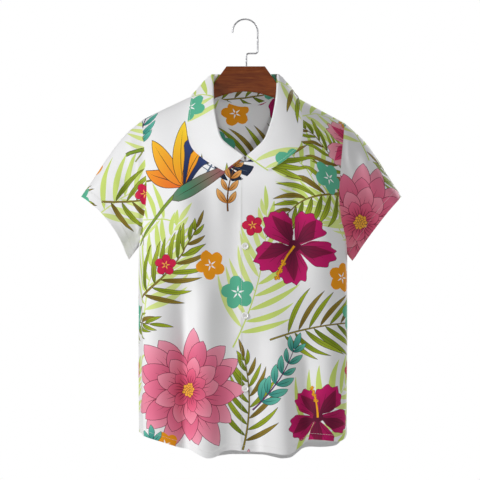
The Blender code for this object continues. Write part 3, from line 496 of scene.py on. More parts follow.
def top_level(side, face):
    """Height of a panel's top edge over X: the shoulder line, and on the back the neckline."""
    sign = SIDES[side]

    def level(x):
        shoulder = ridge(np.where(np.abs(x) < 1e-9, sign * 1e-9, x))
        if face == "front":
            return shoulder
        part = np.clip(np.abs(x) / NECK_POINT_X, 0, 1)
        back = NECK_BACK_Y * np.sqrt(1 - part * part)
        z = np.full_like(part, NECK_BACK_Z)
        rounding = np.clip(back / (smooth(z, TORSO["z"], TORSO[face]) * section(x, z)), 0, 1)
        drop = 1 - np.sqrt(1 - rounding ** (1 / SHOULDER_POWER))
        return shoulder - SHOULDER_DROP[face] * drop

    return level


def grid_normals(grid):
    """Unit normals of a grid, from central differences."""
    return unit(np.cross(np.gradient(grid, axis=1), np.gradient(grid, axis=0)))


def seam_fade(grid, open_inner):
    """1 inside a panel and 0 at its seams, so that folds leave the seams in place."""
    from_side = np.stack([lengths(row[::-1])[::-1] for row in grid])
    from_top = np.stack([lengths(grid[::-1, k])[::-1] for k in range(grid.shape[1])], axis=1)
    near = np.minimum(from_side, from_top)
    if open_inner:
        from_inner = np.stack([lengths(row) for row in grid])
        from_inner[:ROWS_LOW + ROWS_STAND] = SEAM_FADE
        near = np.minimum(near, from_inner)
    return eased(np.clip(near / SEAM_FADE, 0, 1))


def folded(grid, outward, rows, fade):
    """A panel with its soft folds."""
    height = folds(grid[..., 0], grid[..., 2], rows) * fade
    return grid + outward * height[..., None]


def torso_panels():
    """Outer grids and outward normals of the fronts and the back."""
    panels = {}
    for side, inner_x in (("right", UNDER_EDGE_X), ("left", LAP_EDGE_X)):
        grid = half_panel(side, "front", inner_x)
        outward = grid_normals(grid) * SIDES[side]
        panels["front_" + side] = [folded(grid, outward, FRONT_FOLDS, seam_fade(grid, True)), outward]
    halves = [half_panel(side, "back", 0.0) for side in SIDES]
    fades = [seam_fade(half, False) for half in halves]
    whole, fade = (np.concatenate([right[:, ::-1], left[:, 1:]], axis=1) for right, left in (halves, fades))
    outward = -grid_normals(whole)
    panels["back"] = [folded(whole, outward, BACK_FOLDS, fade), outward]
    ease_under_lap(panels["front_right"])
    return panels


def ease_under_lap(panel):
    """The under front steps back where the other front covers it."""
    grid, outward = panel
    part = np.clip((grid[..., 0] - LAP_EDGE_X + LAP_EASE) / (LAP_EASE - LAP_EASED), 0, 1)
    panel[0] = grid - outward * (LAP_STEP * eased(part))[..., None]


# ---------------------------------------------------------------- sleeves
def armhole_ring(panels, side):
    """Armhole seam as a closed ring: down the front from the shoulder, up the back."""
    front = panels["front_" + side][0][ROWS_LOW:, -1]
    edge = 0 if side == "right" else -1
    back = panels["back"][0][ROWS_LOW:, edge]
    return np.concatenate([front[::-1], back[1:-1]], axis=0)


def sleeve_grid(ring, side):
    """Sleeve rings from the armhole to the cuff, drawn along smooth lines."""
    sign = SIDES[side]
    run = lengths(closed(ring))
    half = run[ROWS_UP]
    turn = np.where(run[:-1] <= half, run[:-1] / half * 0.5,
                    0.5 + (run[:-1] - half) / (run[-1] - half) * 0.5)
    top, under = (np.array([x, 0, z], float) for x, z in (CUFFS[side]["top"], CUFFS[side]["under"]))
    middle, half_long = (top + under) / 2, (top - under) / 2
    angle = turn * 2 * math.pi
    out = np.array([sign * SLEEVE_END[0], 0, SLEEVE_END[1]])
    cuff = (middle + np.cos(angle)[:, None] * half_long
            - np.sin(angle)[:, None] * np.array([0, CUFF_HALF_DEPTH, 0])
            - (np.sin(angle) ** 2)[:, None] * out * CUFF_DRAWN_IN[side])
    reach = np.linalg.norm(cuff - ring, axis=1, keepdims=True)
    straight = unit(cuff - ring)
    lean = np.clip(np.cos(angle), 0, 1)[:, None]
    start = np.array([sign * SLEEVE_TOP_START[0], 0, SLEEVE_TOP_START[1]])
    swell = np.stack([np.zeros_like(angle), -np.sin(angle), np.zeros_like(angle)], axis=1)
    leave = unit(straight * (1 - lean) + start * lean + SLEEVE_SWELL * swell * (1 - lean)) * reach
    arrive = unit(out * CUFF_SQUARE + straight * (1 - CUFF_SQUARE)) * reach
    grid = []
    for step in np.linspace(0, 1, SLEEVE_RINGS + 1):
        grid.append((1 + 2 * step) * (1 - step) ** 2 * ring + step * (1 - step) ** 2 * leave
                    + eased(step) * cuff + step * step * (step - 1) * arrive)
    return np.array(grid), turn


def ring_normals(grid, sign):
    """Outward normals of a grid whose rows are closed rings."""
    across = (np.roll(grid, -1, axis=1) - np.roll(grid, 1, axis=1)) / 2
    down = np.gradient(grid, axis=0)
    return unit(np.cross(across, down)) * sign


def sleeve_folds(grid, turn, outward):
    """The sleeve with its soft folds."""
    steps = np.linspace(0, 1, grid.shape[0])[:, None]
    height = np.zeros(grid.shape[:2])
    for centre, start, end, width, rise in SLEEVE_FOLDS:
        away = np.abs(turn[None, :] - centre)
        away = np.minimum(away, 1 - away)
        ease = np.clip(np.minimum(steps - start, end - steps) / SLEEVE_FOLD_EASE, 0, 1)
        height += rise * ease * np.exp(-(away / width) ** 2)
    height *= np.clip(steps / SLEEVE_FOLD_EASE, 0, 1)
    return grid + outward * height[..., None]


# ---------------------------------------------------------------- collar
def body_point(x, z, lift):
    """Point on the body's surface, lifted off it, in front (y < 0)."""
    return np.stack([x, -depth(x, z, "front", lift), z], axis=1)


def fall_edge(side):
    """Outer edge of the collar's fall: back part and front part, each a dense line."""
    sign = SIDES[side]
    lift = FALL_CLEARANCE
    knots = np.array(FALL_BACK, float)
    x = knots[-1, 0] * (1 - np.linspace(1, 0, FALL_KNOTS) ** 2)
    z = smooth(x, knots[:, 0], knots[:, 1])
    back = np.stack([sign * x, depth(sign * x, z, "back", lift), z], axis=1)
    crossing = np.array([[sign * FALL_SHOULDER_X, 0.0, ridge(sign * FALL_SHOULDER_X) + lift]])
    back = spline(np.concatenate([back, crossing]))
    knots = np.array(FALL_FRONT, float)
    front = body_point(sign * knots[:, 0], knots[:, 1], lift)
    front = spline(np.concatenate([crossing, front]))
    return back, front


def spline(points):
    """Dense Catmull-Rom line through points."""
    ends = np.concatenate([[2 * points[0] - points[1]], points, [2 * points[-1] - points[-2]]])
    line = []
    for k in range(len(points) - 1):
        a, b, c, d = ends[k:k + 4]
        t = np.linspace(0, 1, SPLINE_STEPS, endpoint=False)[:, None]
        line.append(0.5 * (2 * b + (c - a) * t + (2 * a - 5 * b + 4 * c - d) * t * t
                           + (3 * b - a - 3 * c + d) * t ** 3))
    return np.concatenate(line + [points[-1:]])


def roll_line(side):
    """Roll line of the collar: back part and front part, each a dense line."""
    return [spline(np.stack([part[side] * SIDES[side], part["y"], part["z"]], axis=1))
            for part in (ROLL_BACK, ROLL_FRONT)]


def collar_half(seam, seam_out, side):
    """Underside points of half the collar: one row per seam point, back to front.

    Each row climbs the stand from the neckline seam, turns at the roll line and falls outside.
    """
    parts_back = np.linspace(0, 1, COLUMNS_NECK + 1)
    parts_front = 1 - close_at_end(ROWS_COLLAR)[::-1][1:]
    rolls, edges = roll_line(side), fall_edge(side)
    roll = np.concatenate([along(rolls[0], parts_back), along(rolls[1], parts_front)])
    edge = np.concatenate([along(edges[0], parts_back), along(edges[1], parts_front)])
    tangent = unit(np.gradient(roll, axis=0))
    rows = []
    for k in range(len(seam)):
        climb = roll[k] - seam[k]
        climb -= tangent[k] * climb.dot(tangent[k])
        climb = unit(climb)
        outward = np.cross(climb, tangent[k])
        if outward.dot(seam_out[k]) < 0:
            outward = -outward
        inside = roll[k] - climb * WALL
        near = inside - climb * ROLL_RADIUS - outward * ROLL_RADIUS
        far = inside - climb * ROLL_RADIUS + outward * ROLL_RADIUS
        stand = [seam[k], (seam[k] + near) / 2, near]
        turn = [inside - climb * ROLL_RADIUS * (1 - DIAGONAL) - outward * ROLL_RADIUS * DIAGONAL, inside,
                inside - climb * ROLL_RADIUS * (1 - DIAGONAL) + outward * ROLL_RADIUS * DIAGONAL, far]
        fall = []
        for step in FALL_STEPS:
            point = far + (edge[k] - far) * step
            point = point + outward * FALL_BULGE * 4 * step * (1 - step) * (1 - step)
            fall.append(point)
        rows.append(stand + turn + fall)
    return np.array(rows)


def clear_of_body(grid, first, lift):
    """Push the collar's fall out to a lifted copy of the body's surface where it is inside."""
    x, y, z = grid[:, first:, 0], grid[:, first:, 1], grid[:, first:, 2]
    face_front = y < 0
    limit = np.where(face_front, depth(x, z, "front", lift), depth(x, z, "back", lift))
    under = z < ridge(x) + lift
    grid[:, first:, 1] = np.where(under & (np.abs(y) < limit), np.where(face_front, -limit, limit), y)
    return grid


# ---------------------------------------------------------------- seams
def seam_list():
    """Each seam as its pieces' edges that match: (piece, rows, columns), one of them a single number."""
    top = ROWS_LOW + ROWS_UP
    up, low = np.arange(ROWS_LOW, top + 1), np.arange(0, ROWS_LOW + 1)
    half = COLUMNS_FRONT + COLUMNS_NECK
    shoulder = np.arange(0, COLUMNS_FRONT + 1)
    turn = np.arange(0, ROWS_UP + 1)
    neck = np.arange(0, ROWS_COLLAR + 1)
    collar_middle = COLUMNS_NECK + ROWS_COLLAR
    seams = []
    for side, sign in SIDES.items():
        front, sleeve = "front_" + side, "sleeve_" + side
        edge = half + sign * half
        seams += [
            [(front, low, COLUMNS_FRONT), ("back", low, edge)],
            [(front, top, shoulder), ("back", top, half + sign * (COLUMNS_NECK + shoulder))],
            [(front, up[::-1], COLUMNS_FRONT), (sleeve, 0, turn)],
            [("back", up, edge), (sleeve, 0, (ROWS_UP + turn) % (2 * ROWS_UP))],
            [(front, top - neck, 0), ("collar", collar_middle + sign * (COLUMNS_NECK + neck), 0)],
        ]
    around = np.arange(-COLUMNS_NECK, COLUMNS_NECK + 1)
    return seams + [[("back", top, half + around), ("collar", collar_middle + around, 0)]]


def collar_piece(panels):
    """The collar's underside grid and its normals towards the face.

    Its rows follow each other along the neckline, its columns run from the seam to the outer edge.
    """
    halves = []
    rows = np.arange(ROWS_LOW + ROWS_UP - 1, ROWS_LOW + ROWS_STAND, -1)
    for side, sign in SIDES.items():
        cols = COLUMNS_FRONT + COLUMNS_NECK + sign * np.arange(0, COLUMNS_NECK + 1)
        seam, seam_out = (np.concatenate([back[-1, cols], front[rows, 0]])
                          for back, front in zip(panels["back"], panels["front_" + side]))
        halves.append(collar_half(seam, seam_out, side))
    grid = np.concatenate([halves[0][::-1], halves[1][1:]], axis=0)
    grid = clear_of_body(grid, FALL_FIRST, FALL_CLEARANCE)
    towards_face = unit(np.cross(np.gradient(grid, axis=0), np.gradient(grid, axis=1)))
    middle = grid.shape[0] // 2
    if towards_face[middle, -1].dot((0, 1, 0)) < 0:
        towards_face = -towards_face
    return grid, towards_face


def hook_points():
    """Centre line of the wire: stem, crank, riser and arc, in X and Z, finely stepped."""
    low = WOOD_TOP_Z - HOOK_SOCKET
    points = [(HOOK_STEM_X, low), (HOOK_STEM_X, (low + HOOK_CRANK_Z) / 2)]
    for x, z, radius, first, last, count in (
        (HOOK_STEM_X + HOOK_BEND, HOOK_CRANK_Z - HOOK_BEND, HOOK_BEND, 180, 90, HOOK_BEND_POINTS),
        (HOOK_ARC_RADIUS - HOOK_BEND, HOOK_CRANK_Z + HOOK_BEND, HOOK_BEND, -90, 0, HOOK_BEND_POINTS),
        (0, WIRE_RADIUS - HOOK_ARC_RADIUS, HOOK_ARC_RADIUS, 0, HOOK_TURN, HOOK_ARC_POINTS),
    ):
        for turn in np.radians(np.linspace(first, last, count)):
            points.append((x + radius * math.cos(turn), z + radius * math.sin(turn)))
    return points


# ---------------------------------------------------------------- scene settings
# Cloth shells
THICK = {"front": 1.0, "back": 1.0, "sleeve": 1.0, "collar": 1.6}       # thickness as drawn
STEP = 5.5              # spacing of the cloth's fill points
WELD = 0.03             # points nearer than this are one
PROBE = 0.5             # how far on each side heights are read for the slope
EDGE_FADE = 14.0        # the relief dies out this near a sewn edge
EDGE_POINTS = 500       # of a line along an edge
CHUNK = 2_000_000       # points times outline points that are tested at once

# Laying flat: rows and columns of the grid for one step of the coarse grid, and turns of the solver
SLEEVE_RELAX = (3, 6)
COLLAR_RELAX = (2, 1)
RELAX_TURNS = 60
ROLL_SMOOTHING = 30     # turns that smooth the collar's roll line on its cut

# Turned bands: the edge, how far they reach from it, and how much higher they lie
HEM_BAND = ("low", 12.0, 0.45)
CUFF_BAND = ("low", 18.0, 0.5)
BANDS = {
    "front_right": (HEM_BAND,),
    "front_left": (HEM_BAND, ("first", 3.0, 0.4)),
    "back": (HEM_BAND,),
    "sleeve_right": (CUFF_BAND,),
    "sleeve_left": (CUFF_BAND,),
}
BAND_RAMP = 1.4         # width of the slope at a band's inner edge

# Whether a piece is sewn at the first and last column, and at the lowest and highest row
SEWN = {"front": (0, 1, 0, 1), "back": (1, 1, 0, 1), "sleeve": (0, 0, 0, 1), "collar": (1, 0, 0, 0)}

# Slow waves of the cloth: lengths across and up for one radian, and height
WAVES = ((17.0, 95.0, 0.35), (-11.0, 70.0, 0.22), (29.0, -130.0, 0.5), (7.5, 60.0, 0.10))
WAVE_SHIFT = 1.7        # radians from each wave to the next
WAVE_BEND = (0.8, 70, 90)       # radians that the waves swing by, and lengths across and up for one

# Creases: from x, z to x, z, the reach towards low x and towards high x, and the height
CREASES = {
    "front_right": (
        (-194, -380, -194, -960, 9, 50, 11.0),
        (-122, -520, -120, -930, 9, 7, -2.5),
        (-94, -330, -92, -960, 12, 34, 3.0),
        (-60, -240, -44, -420, 16, 26, 2.5),
    ),
    "front_left": (
        (188, -290, 190, -960, 46, 10, 12.0),
        (70, -268, 176, -372, 12, 26, 4.0),
        (16, -640, 50, -960, 10, 26, 3.5),
    ),
    "sleeve_right": (
        (-228, -216, -226, -392, 6, 10, 3.0),
        (-213, -222, -212, -480, 6, 10, 3.0),
        (-262, -300, -236, -430, 9, 14, 2.5),
    ),
    "sleeve_left": (
        (192, -216, 216, -330, 7, 11, 3.0),
        (228, -250, 262, -380, 9, 14, 3.0),
    ),
}
CREASE_EASE = 0.3       # part of a crease's length over which it grows at each end

# Print: where each cut lies on the printed cloth, the cloth's ground and the largest motif's reach
SHIFTS = {
    "front_right": (-250, -890),
    "front_left": (-250, -890),
    "back": (0, -560),
    "sleeve_right": (40, -300),
    "sleeve_left": (-260, -120),
    "collar": (-420, -300),
}
GROUND = "#F1F1F2"
MOTIF_REACH = 340
COPIES = range(-2, 3)   # copies of the repeat each way that can reach a cut
# A part printed inside too, as the facing behind the neck is: half width, lower edge, plain tape above, shift
LININGS = {"back": (150.0, -330.0, 7.0, (-425, -556))}
KEPT_STEP = 2.0         # step of the outlines that are cut at the facing's edge

# Square map: gap between its parts, width of the shell's rim, scale of the inside
MAP_EDGE = 3.0
RIM_MAP = 1.0
INNER_MAP = 0.3

# Rows of stitches: the piece, its edge, the part of the edge where they end, how far from it they run
STITCH_LINES = (
    *((name, "low", 1.0, HEM_BAND[1]) for name in ("front_right", "front_left", "back")),
    *((name, "low", 1.0, CUFF_BAND[1]) for name in ("sleeve_right", "sleeve_left")),
    ("front_left", "first", 0.59, 3.0),
    ("collar", "last", 1.0, 4.5),
)
STITCH_PITCH = 3.2      # from one stitch to the next
STITCH_LONG = 2.4
STITCH_SIDES = 5        # of a thread's section
# Rings of a stitch along its length: place, height of the middle and thickness, in radii
STITCH_RINGS = ((-0.5, -0.6, 0.5), (-0.25, 0.35, 1.0), (0.25, 0.35, 1.0), (0.5, -0.6, 0.5))
THREAD_RADIUS = 0.28

# Buttonholes: half their length and width, how square their ends are, height off the cloth
HOLE_HALF = 8.2
HOLE_WIDE = 0.9
HOLE_SQUARE = 0.6
HOLE_LIFT = 0.25
HOLE_POINTS = 60
HOLE_PITCH = 0.45       # of its stitches
HOLE_STITCH = 1.3       # their length
HOLE_THREAD = THREAD_RADIUS * 0.8

# Buttons: face and back over the radius, as parts of the thickness from the rearmost place
BUTTON_RADIUS = 7.0
BUTTON_FACE = ((0, 4.2, 4.8, 5.3, 6.0, 6.6, 7.0), (0.62, 0.60, 0.72, 0.97, 1.0, 0.86, 0.55))
BUTTON_BACK = ((0, 6.3, 7.0), (0, 0, 0.22))
BUTTON_RINGS = (4.4, 5.0, 5.6, 6.5)     # radii that the mesh follows
BUTTON_STEP = 1.1       # spacing of its fill points
BUTTON_POINTS = (14, 48, 56)    # of the circles of a hole, a ring and the rim
BUTTON_HOLE = 0.85      # radius of the four holes
BUTTON_HOLE_AT = 1.35   # their X and Z from the middle
BUTTON_THREADS = (-0.35, 0.0, 0.35)     # threads side by side between two holes
BUTTON_THREAD_LIFTS = (0.35, 0.6)       # of the lower and of the upper pair of holes' threads
BUTTON_THREAD_RADIUS = 0.3
BUTTON_SHARP = 35       # edges sharper than this, in degrees, are shaded sharp

# Stage, in millimetres
FLOOR_Z = -1250
VIEW_CENTRE = (-10.4, -440.0)

# Stage, in metres
FLOOR_RADIUS = 2.2
VIEW_WIDE = 0.96        # what the camera shows across
VIEW_BACK = 3.0         # how far the camera stands in front
AIM = (0.0, 0.0, -0.45)         # of the lamps
LAMPS = (               # name, place, diameter, power
    ("key", (-4.3, -2.2, 0.9), 1.1, 166),
    ("front", (0.3, -3.3, 0.5), 1.4, 17),
    ("right", (3.9, -0.9, 0.7), 1.6, 17),
    ("top", (0.4, -2.0, 2.3), 1.2, 9),
    ("back", (2.2, 3.2, 1.0), 1.6, 100),
)
# Narrow lamp for the inside of the neck: place, aim, cone in degrees, soft edge, radius, power
NECK_LAMP = ((0.0, -2.6, -0.5), (0.0, 0.06, -0.198), 2.7, 0.9, 0.12, 320)
WORLD_LIGHT = 0.12      # the background lights this much of what it shows

# Materials by name, filled as they are made
MATERIALS = {}


# ---------------------------------------------------------------- print
INK = "#3A2A16"
LEAF_INK = "#4E4A12"
STAMEN = "#F2A61C"
LEAF_WEIGHT = 0.9       # width of the ink line round the leaves


def bow(length, bend, count):
    """Line from the origin along +X that turns by bend, in radians, over its length."""
    turn = np.linspace(0, bend, count - 1)
    steps = np.stack([np.cos(turn), np.sin(turn)], axis=1) * length / (count - 1)
    return np.concatenate([[(0.0, 0.0)], np.cumsum(steps, axis=0)])


def turned(points, angle, at=(0.0, 0.0)):
    """Points turned about the origin, then moved."""
    c, s = math.cos(angle), math.sin(angle)
    return np.asarray(points) @ np.array([[c, s], [-s, c]]) + np.asarray(at)


def lens(count, widest, power=1.0):
    """Half widths of a blade, 0 at both ends and 1 at its widest place."""
    part = np.linspace(0, 1, count)
    return np.sin(math.pi * part ** (math.log(0.5) / math.log(widest))) ** power


def blade(spine, left, right=None):
    """Closed outline of a shape from its spine and its half widths."""
    right = left if right is None else right
    ahead = unit(np.gradient(spine, axis=0))
    side = np.stack([-ahead[:, 1], ahead[:, 0]], axis=1)
    return np.concatenate([spine + side * left[:, None], (spine - side * right[:, None])[::-1]])


def inked(spine, half, fill, ink, weight):
    """A blade in ink and its fill inside it, which ends where the blade is as thin as the ink.

    Without ink the fill takes the whole blade.
    """
    if not ink:
        return [(blade(spine, half), fill)]
    dense = np.linspace(0, 1, 8 * len(half))
    at = np.linspace(0, 1, len(half))
    keep = dense[np.interp(dense, at, half) > weight * 1.05]
    shapes = [(blade(spine, half), ink)]
    if len(keep) > 3:
        part = np.linspace(keep[0], keep[-1], len(half))
        inner = np.maximum(np.interp(part, at, half) - weight, 0.05)
        shapes.append((blade(read(spine, at, part), inner), fill))
    return shapes


def rib(spine, first, last, half, widest, ink):
    """Line of ink along part of a spine."""
    return blade(spine[first:last], half * lens(last - first, widest)), ink


def shaded(fill, centre, reach):
    """A fill of two colours with its shading's centre and reach, or a plain fill as it is."""
    return fill if isinstance(fill, str) else (*fill, tuple(centre), reach)


def disc(radius, at=(0, 0), count=8):
    """Outline of a disc."""
    turn = np.linspace(0, 2 * math.pi, count, endpoint=False)
    return np.stack([np.cos(turn), np.sin(turn)], axis=1) * radius + np.asarray(at)


def placed(shapes, angle, at=(0.0, 0.0), size=1.0):
    """Shapes turned, scaled and moved, with the centres and reaches of their shading."""
    made = []
    for outline, paint in shapes:
        if isinstance(paint, tuple):
            near, far, centre, reach = paint
            paint = (near, far, tuple(turned(np.array(centre) * size, angle, at)), reach * size)
        made.append((turned(np.asarray(outline) * size, angle, at), paint))
    return made


def frond(length, bend, pairs, reach, width, fills, ink=None):
    """Palm frond from its foot: slim leaflets in pairs along a bowed stem, with gaps between them."""
    line = bow(length, bend, 61)
    ahead = unit(np.gradient(line, axis=0))
    shapes = []
    for k in range(pairs):
        for side in (1, -1):
            part = 0.14 + 0.84 * (k + 0.22 * side) / (pairs - 0.6)
            at = line[int(part * 60)]
            heading = math.atan2(*ahead[int(part * 60)][::-1])
            long = reach * (0.50 + 0.50 * math.sin(math.pi * min(1.0, 0.30 + 0.70 * part)))
            long *= 1.12 - 0.5 * part ** 2
            long *= 1 + 0.08 * math.sin(5.1 * k + side)
            lean = side * math.radians(66 - 34 * part + 4 * math.sin(3.7 * k + 2 * side))
            leaf = turned(bow(long, -side * (0.42 + 0.16 * math.sin(2.3 * k + side)), 12), heading + lean, at)
            half = width * lens(12, 0.42, 0.8) * (0.75 + 0.25 * long / reach)
            fill = shaded(fills[(2 * k + (side > 0)) % len(fills)], at, long)
            shapes += inked(leaf, half, fill, ink, LEAF_WEIGHT)
            if ink:
                shapes.append(rib(leaf, 1, 10, 0.35, 0.3, ink))
    tip = turned(bow(reach * 0.5, 0.2 * bend, 12), math.atan2(*ahead[-1][::-1]), line[-2])
    fill = shaded(fills[0], line[-2], reach * 0.5)
    shapes += inked(tip, width * 0.8 * lens(12, 0.42, 0.8), fill, ink, LEAF_WEIGHT)
    taper = np.linspace(1, 0.4, 61) * (2.3 if ink else 1.6)
    return shapes + inked(line, taper, "#8A7A2A" if ink else fill, ink, LEAF_WEIGHT * 0.7)


def fan(reach, blades, spread, width, fills, ink):
    """Long blades that spread from one point about +X."""
    shapes = []
    for k in sorted(range(blades), key=lambda k: (k * 5) % blades):
        part = k / (blades - 1) - 0.5
        long = reach * (1 - 0.9 * part ** 2) * (1 + 0.10 * math.sin(4 * k))
        leaf = turned(bow(long, 0.5 * part + 0.12 * math.sin(3 * k), 16), part * spread)
        fill = shaded(fills[k % len(fills)], (0, 0), long)
        shapes += inked(leaf, width * lens(16, 0.5, 0.75), fill, ink, LEAF_WEIGHT)
        shapes.append(rib(leaf, 2, 13, 0.45, 0.4, ink))
    return shapes


def petal(length, width, ruffle, seed):
    """Outline of a broad petal along +X from the origin, with a ruffled rim."""
    part = np.linspace(0, 1, 44)
    half = width * np.sin(math.pi * part ** 1.25) ** 0.62 * (0.35 + 0.65 * part)
    half[0] = width * 0.08
    left = half * (1 + ruffle * np.sin(13 * part + seed) * part)
    right = half * (1 + ruffle * np.sin(11 * part + 2.1 * seed) * part)
    spine = np.stack([length * part, 0.05 * length * np.sin(2.2 * part + seed)], axis=1)
    outline = blade(spine, left, right)
    out = np.linalg.norm(outline, axis=1)
    angle = np.arctan2(outline[:, 1], outline[:, 0])
    wave = 1 + ruffle * 0.55 * np.sin(23 * angle + 3 * seed) * (out / length) ** 2
    return outline * wave[:, None]


def hibiscus(radius, light, deep, throat, ink):
    """Five ruffled petals round a dark throat, with a long stamen."""
    shapes = []
    for k in range(5):
        angle = k * 2 * math.pi / 5 + 0.1 * math.sin(4 * k)
        long = radius * (1 + 0.06 * math.sin(2.9 * k + 1))
        rim = petal(long, 0.50 * radius, 0.10, 1.7 * k + 0.4)
        inner = rim * (1 - 1 / radius) * np.array([1, 1 - 1.2 / radius])
        own = [(rim, ink), (inner, (deep, light, (0, 0), long * 0.95))]
        bend = np.sin(np.linspace(0, 3, 9))
        fold = np.stack([np.linspace(0.1, 0.93, 9) * long, 0.10 * long * bend], axis=1)
        shade = blade(fold, np.full(9, 0.4), lens(9, 0.4, 0.8) * 0.34 * radius)
        own.append((shade, (throat, deep, (0, 0), long * 0.95)))
        for off in range(-2, 3):
            line = turned(bow(long * (0.82 - 0.10 * abs(off)), off * 0.2 * 0.9, 8), off * 0.2 * 0.75)
            own.append((blade(line, np.linspace(0.8, 0.3, 8)), ink))
        shapes += placed(own, angle)
    shapes.append((disc(radius * 0.15, count=14), throat))
    rod = turned(bow(radius * 0.98, 0.35, 14), 0.55)
    for k in range(16):
        at = rod[7 + int(k * 6 / 15)]
        off = turned([(2.4 + 2.6 * ((k * 7) % 5) / 5, 0)], k * 2.4)[0] * radius / 80
        shapes.append((disc(radius * 0.030 + 0.5, at + off), INK))
        shapes.append((disc(radius * 0.030 - 0.1, at + off), STAMEN))
    return shapes + inked(rod, np.linspace(2.6, 1.5, 14) * radius / 80 + 0.3, STAMEN, INK, 0.5)


def bloom(radius, rings, ink):
    """Many pointed petals in rings. Each ring: petals, reach, half width, near and far colour.

    Reach and half width are parts of the radius.
    """
    shapes = []
    for ring, (count, reach, width, near, far) in enumerate(rings):
        for k in range(count):
            angle = (k + 0.5 * (ring % 2)) * 2 * math.pi / count + 0.07 * math.sin(5 * k + ring)
            long = radius * reach * (1 + 0.07 * math.sin(3 * k + 2 * ring))
            spine = bow(long, 0.25 * math.sin(2 * k + ring), 16)
            half = radius * width * lens(16, 0.62, 0.75)
            own = inked(spine, half, (near, far, (0, 0), long), ink, 1.0)
            own.append((blade(spine[3:12], 0.7 * lens(9, 0.4), 0.5 * lens(9, 0.4)), ink))
            for side in (1, -1):
                crease = spine + np.stack([np.zeros(16), side * half * 0.48], axis=1)
                own.append(rib(crease, 3, 11, 0.55, 0.4, ink))
            shapes += placed(own, angle)
    for k in range(26):
        at = turned([(radius * 0.11 * math.sqrt(k / 26), 0)], k * 2.4)[0]
        shapes.append((disc(radius * 0.026 + 0.6, at, 7), ink))
        shapes.append((disc(radius * 0.026 - 0.1, at, 7), "#F5B23C"))
    return shapes


def monstera(size, fill, far, vein, ink):
    """Broad leaf with slits between its ribs, pointing along +X from its stalk."""
    turn = np.linspace(-math.pi, math.pi, 240)
    heart = size * (0.62 + 0.30 * np.cos(turn) - 0.20 * np.cos(2 * turn) * 0.4
                    - 0.36 * np.exp(-((np.abs(turn) - math.pi) / 0.42) ** 2))
    cut = np.zeros_like(turn)
    for slit, deep in ((0.34, 0.50), (0.74, 0.56), (1.16, 0.56), (1.60, 0.52), (2.06, 0.46), (2.48, 0.34)):
        cut = np.maximum(cut, deep * np.exp(-((np.abs(turn) - slit - 0.02 * np.sign(turn)) / 0.04) ** 4))
    way = np.stack([np.cos(turn), np.sin(turn)], axis=1)
    rim, inner = way * (heart * (1 - cut))[:, None], way * ((heart - 1.2) * (1 - cut * 1.03))[:, None]
    mid = bow(size * 1.28, 0.05, 12) + np.array([-size * 0.42, 0])
    shapes = [(rim, ink), (inner, (fill, far, (0, 0), size)), (blade(mid, np.linspace(2.0, 0.4, 12)), vein)]
    for angle, at in ((0.15, 0.30), (0.54, 0.22), (0.95, 0.12), (1.38, 0.02), (1.83, -0.08), (2.27, -0.18)):
        for side in (1, -1):
            start = np.array([at * size - 0.1 * size, 0.0])
            reach = np.interp(side * angle, turn, heart) * 0.90
            end = np.array([math.cos(angle), side * math.sin(angle)]) * reach
            line = start + (end - start) * np.linspace(0, 1, 7)[:, None]
            shapes.append((blade(line, np.linspace(1.1, 0.25, 7)), vein))
    return shapes


def strelitzia(size, ink):
    """Bird of paradise: a beak of a bract along +X, with sepals and a dart above it."""
    shapes, weight = [], 1.1
    stem = bow(size * 0.95, 0.5, 16) * np.array([-1, -1])
    shapes += inked(stem, np.full(16, size * 0.026), "#7E9A2E", ink, weight)
    for angle, long, wide, near, far in (
        (2.15, 0.62, 0.085, "#E8641A", "#F7A823"),
        (1.72, 0.80, 0.10, "#EE7A1A", "#FBC02D"),
        (1.20, 0.86, 0.10, "#F08A12", "#F8D030"),
        (0.72, 0.72, 0.085, "#EE7A1A", "#FBC02D"),
    ):
        spine = turned(bow(size * long, -0.35, 16), angle, (size * 0.06, size * 0.03))
        half = size * wide * lens(16, 0.42, 0.8)
        shapes += inked(spine, half, (near, far, (0, 0), size * 0.8), ink, weight)
        shapes.append(rib(spine, 2, 14, 0.6, 0.3, ink))
    for angle, long in ((0.98, 0.66), (0.52, 0.52)):
        spine = turned(bow(size * long, -0.12, 16), angle, (size * 0.05, 0))
        half = size * 0.030 * lens(16, 0.5, 0.6) + size * 0.045 * lens(16, 0.84, 2.2)
        shapes += inked(spine, half, ("#16203A", "#2C3F78", (0, 0), size * 0.6), ink, weight * 0.8)
    beak = turned(bow(size * 1.02, 0.10, 18), -0.04, (-size * 0.14, -size * 0.03))
    half = size * 0.088 * lens(18, 0.26, 0.9)
    shapes += inked(beak, half, ("#3F8F6B", "#B02058", (size * 0.05, 0), size * 0.75), ink, weight)
    return shapes + [rib(beak, 1, 15, 0.7, 0.4, ink)]


def blossom(radius, fill, eye, ink=None):
    """Small flower of five rounded petals."""
    shapes = []
    for k in range(5):
        part = np.linspace(0, 1, 12)
        spine = np.stack([radius * part, 0.16 * radius * np.sin(2.4 * part)], axis=1)
        half = radius * 0.40 * np.sin(math.pi * part ** 1.4) ** 0.6 + 0.03 * radius
        shapes += placed(inked(spine, half, fill, ink, 0.8), k * 2 * math.pi / 5)
    for k in range(5):
        line = np.stack([np.linspace(0.06, 0.42, 5) * radius, np.zeros(5)], axis=1)
        line = turned(line, k * 2 * math.pi / 5 + 0.1)
        shapes.append((blade(line, 0.05 * radius * lens(5, 0.3) + 0.15), eye))
    return shapes


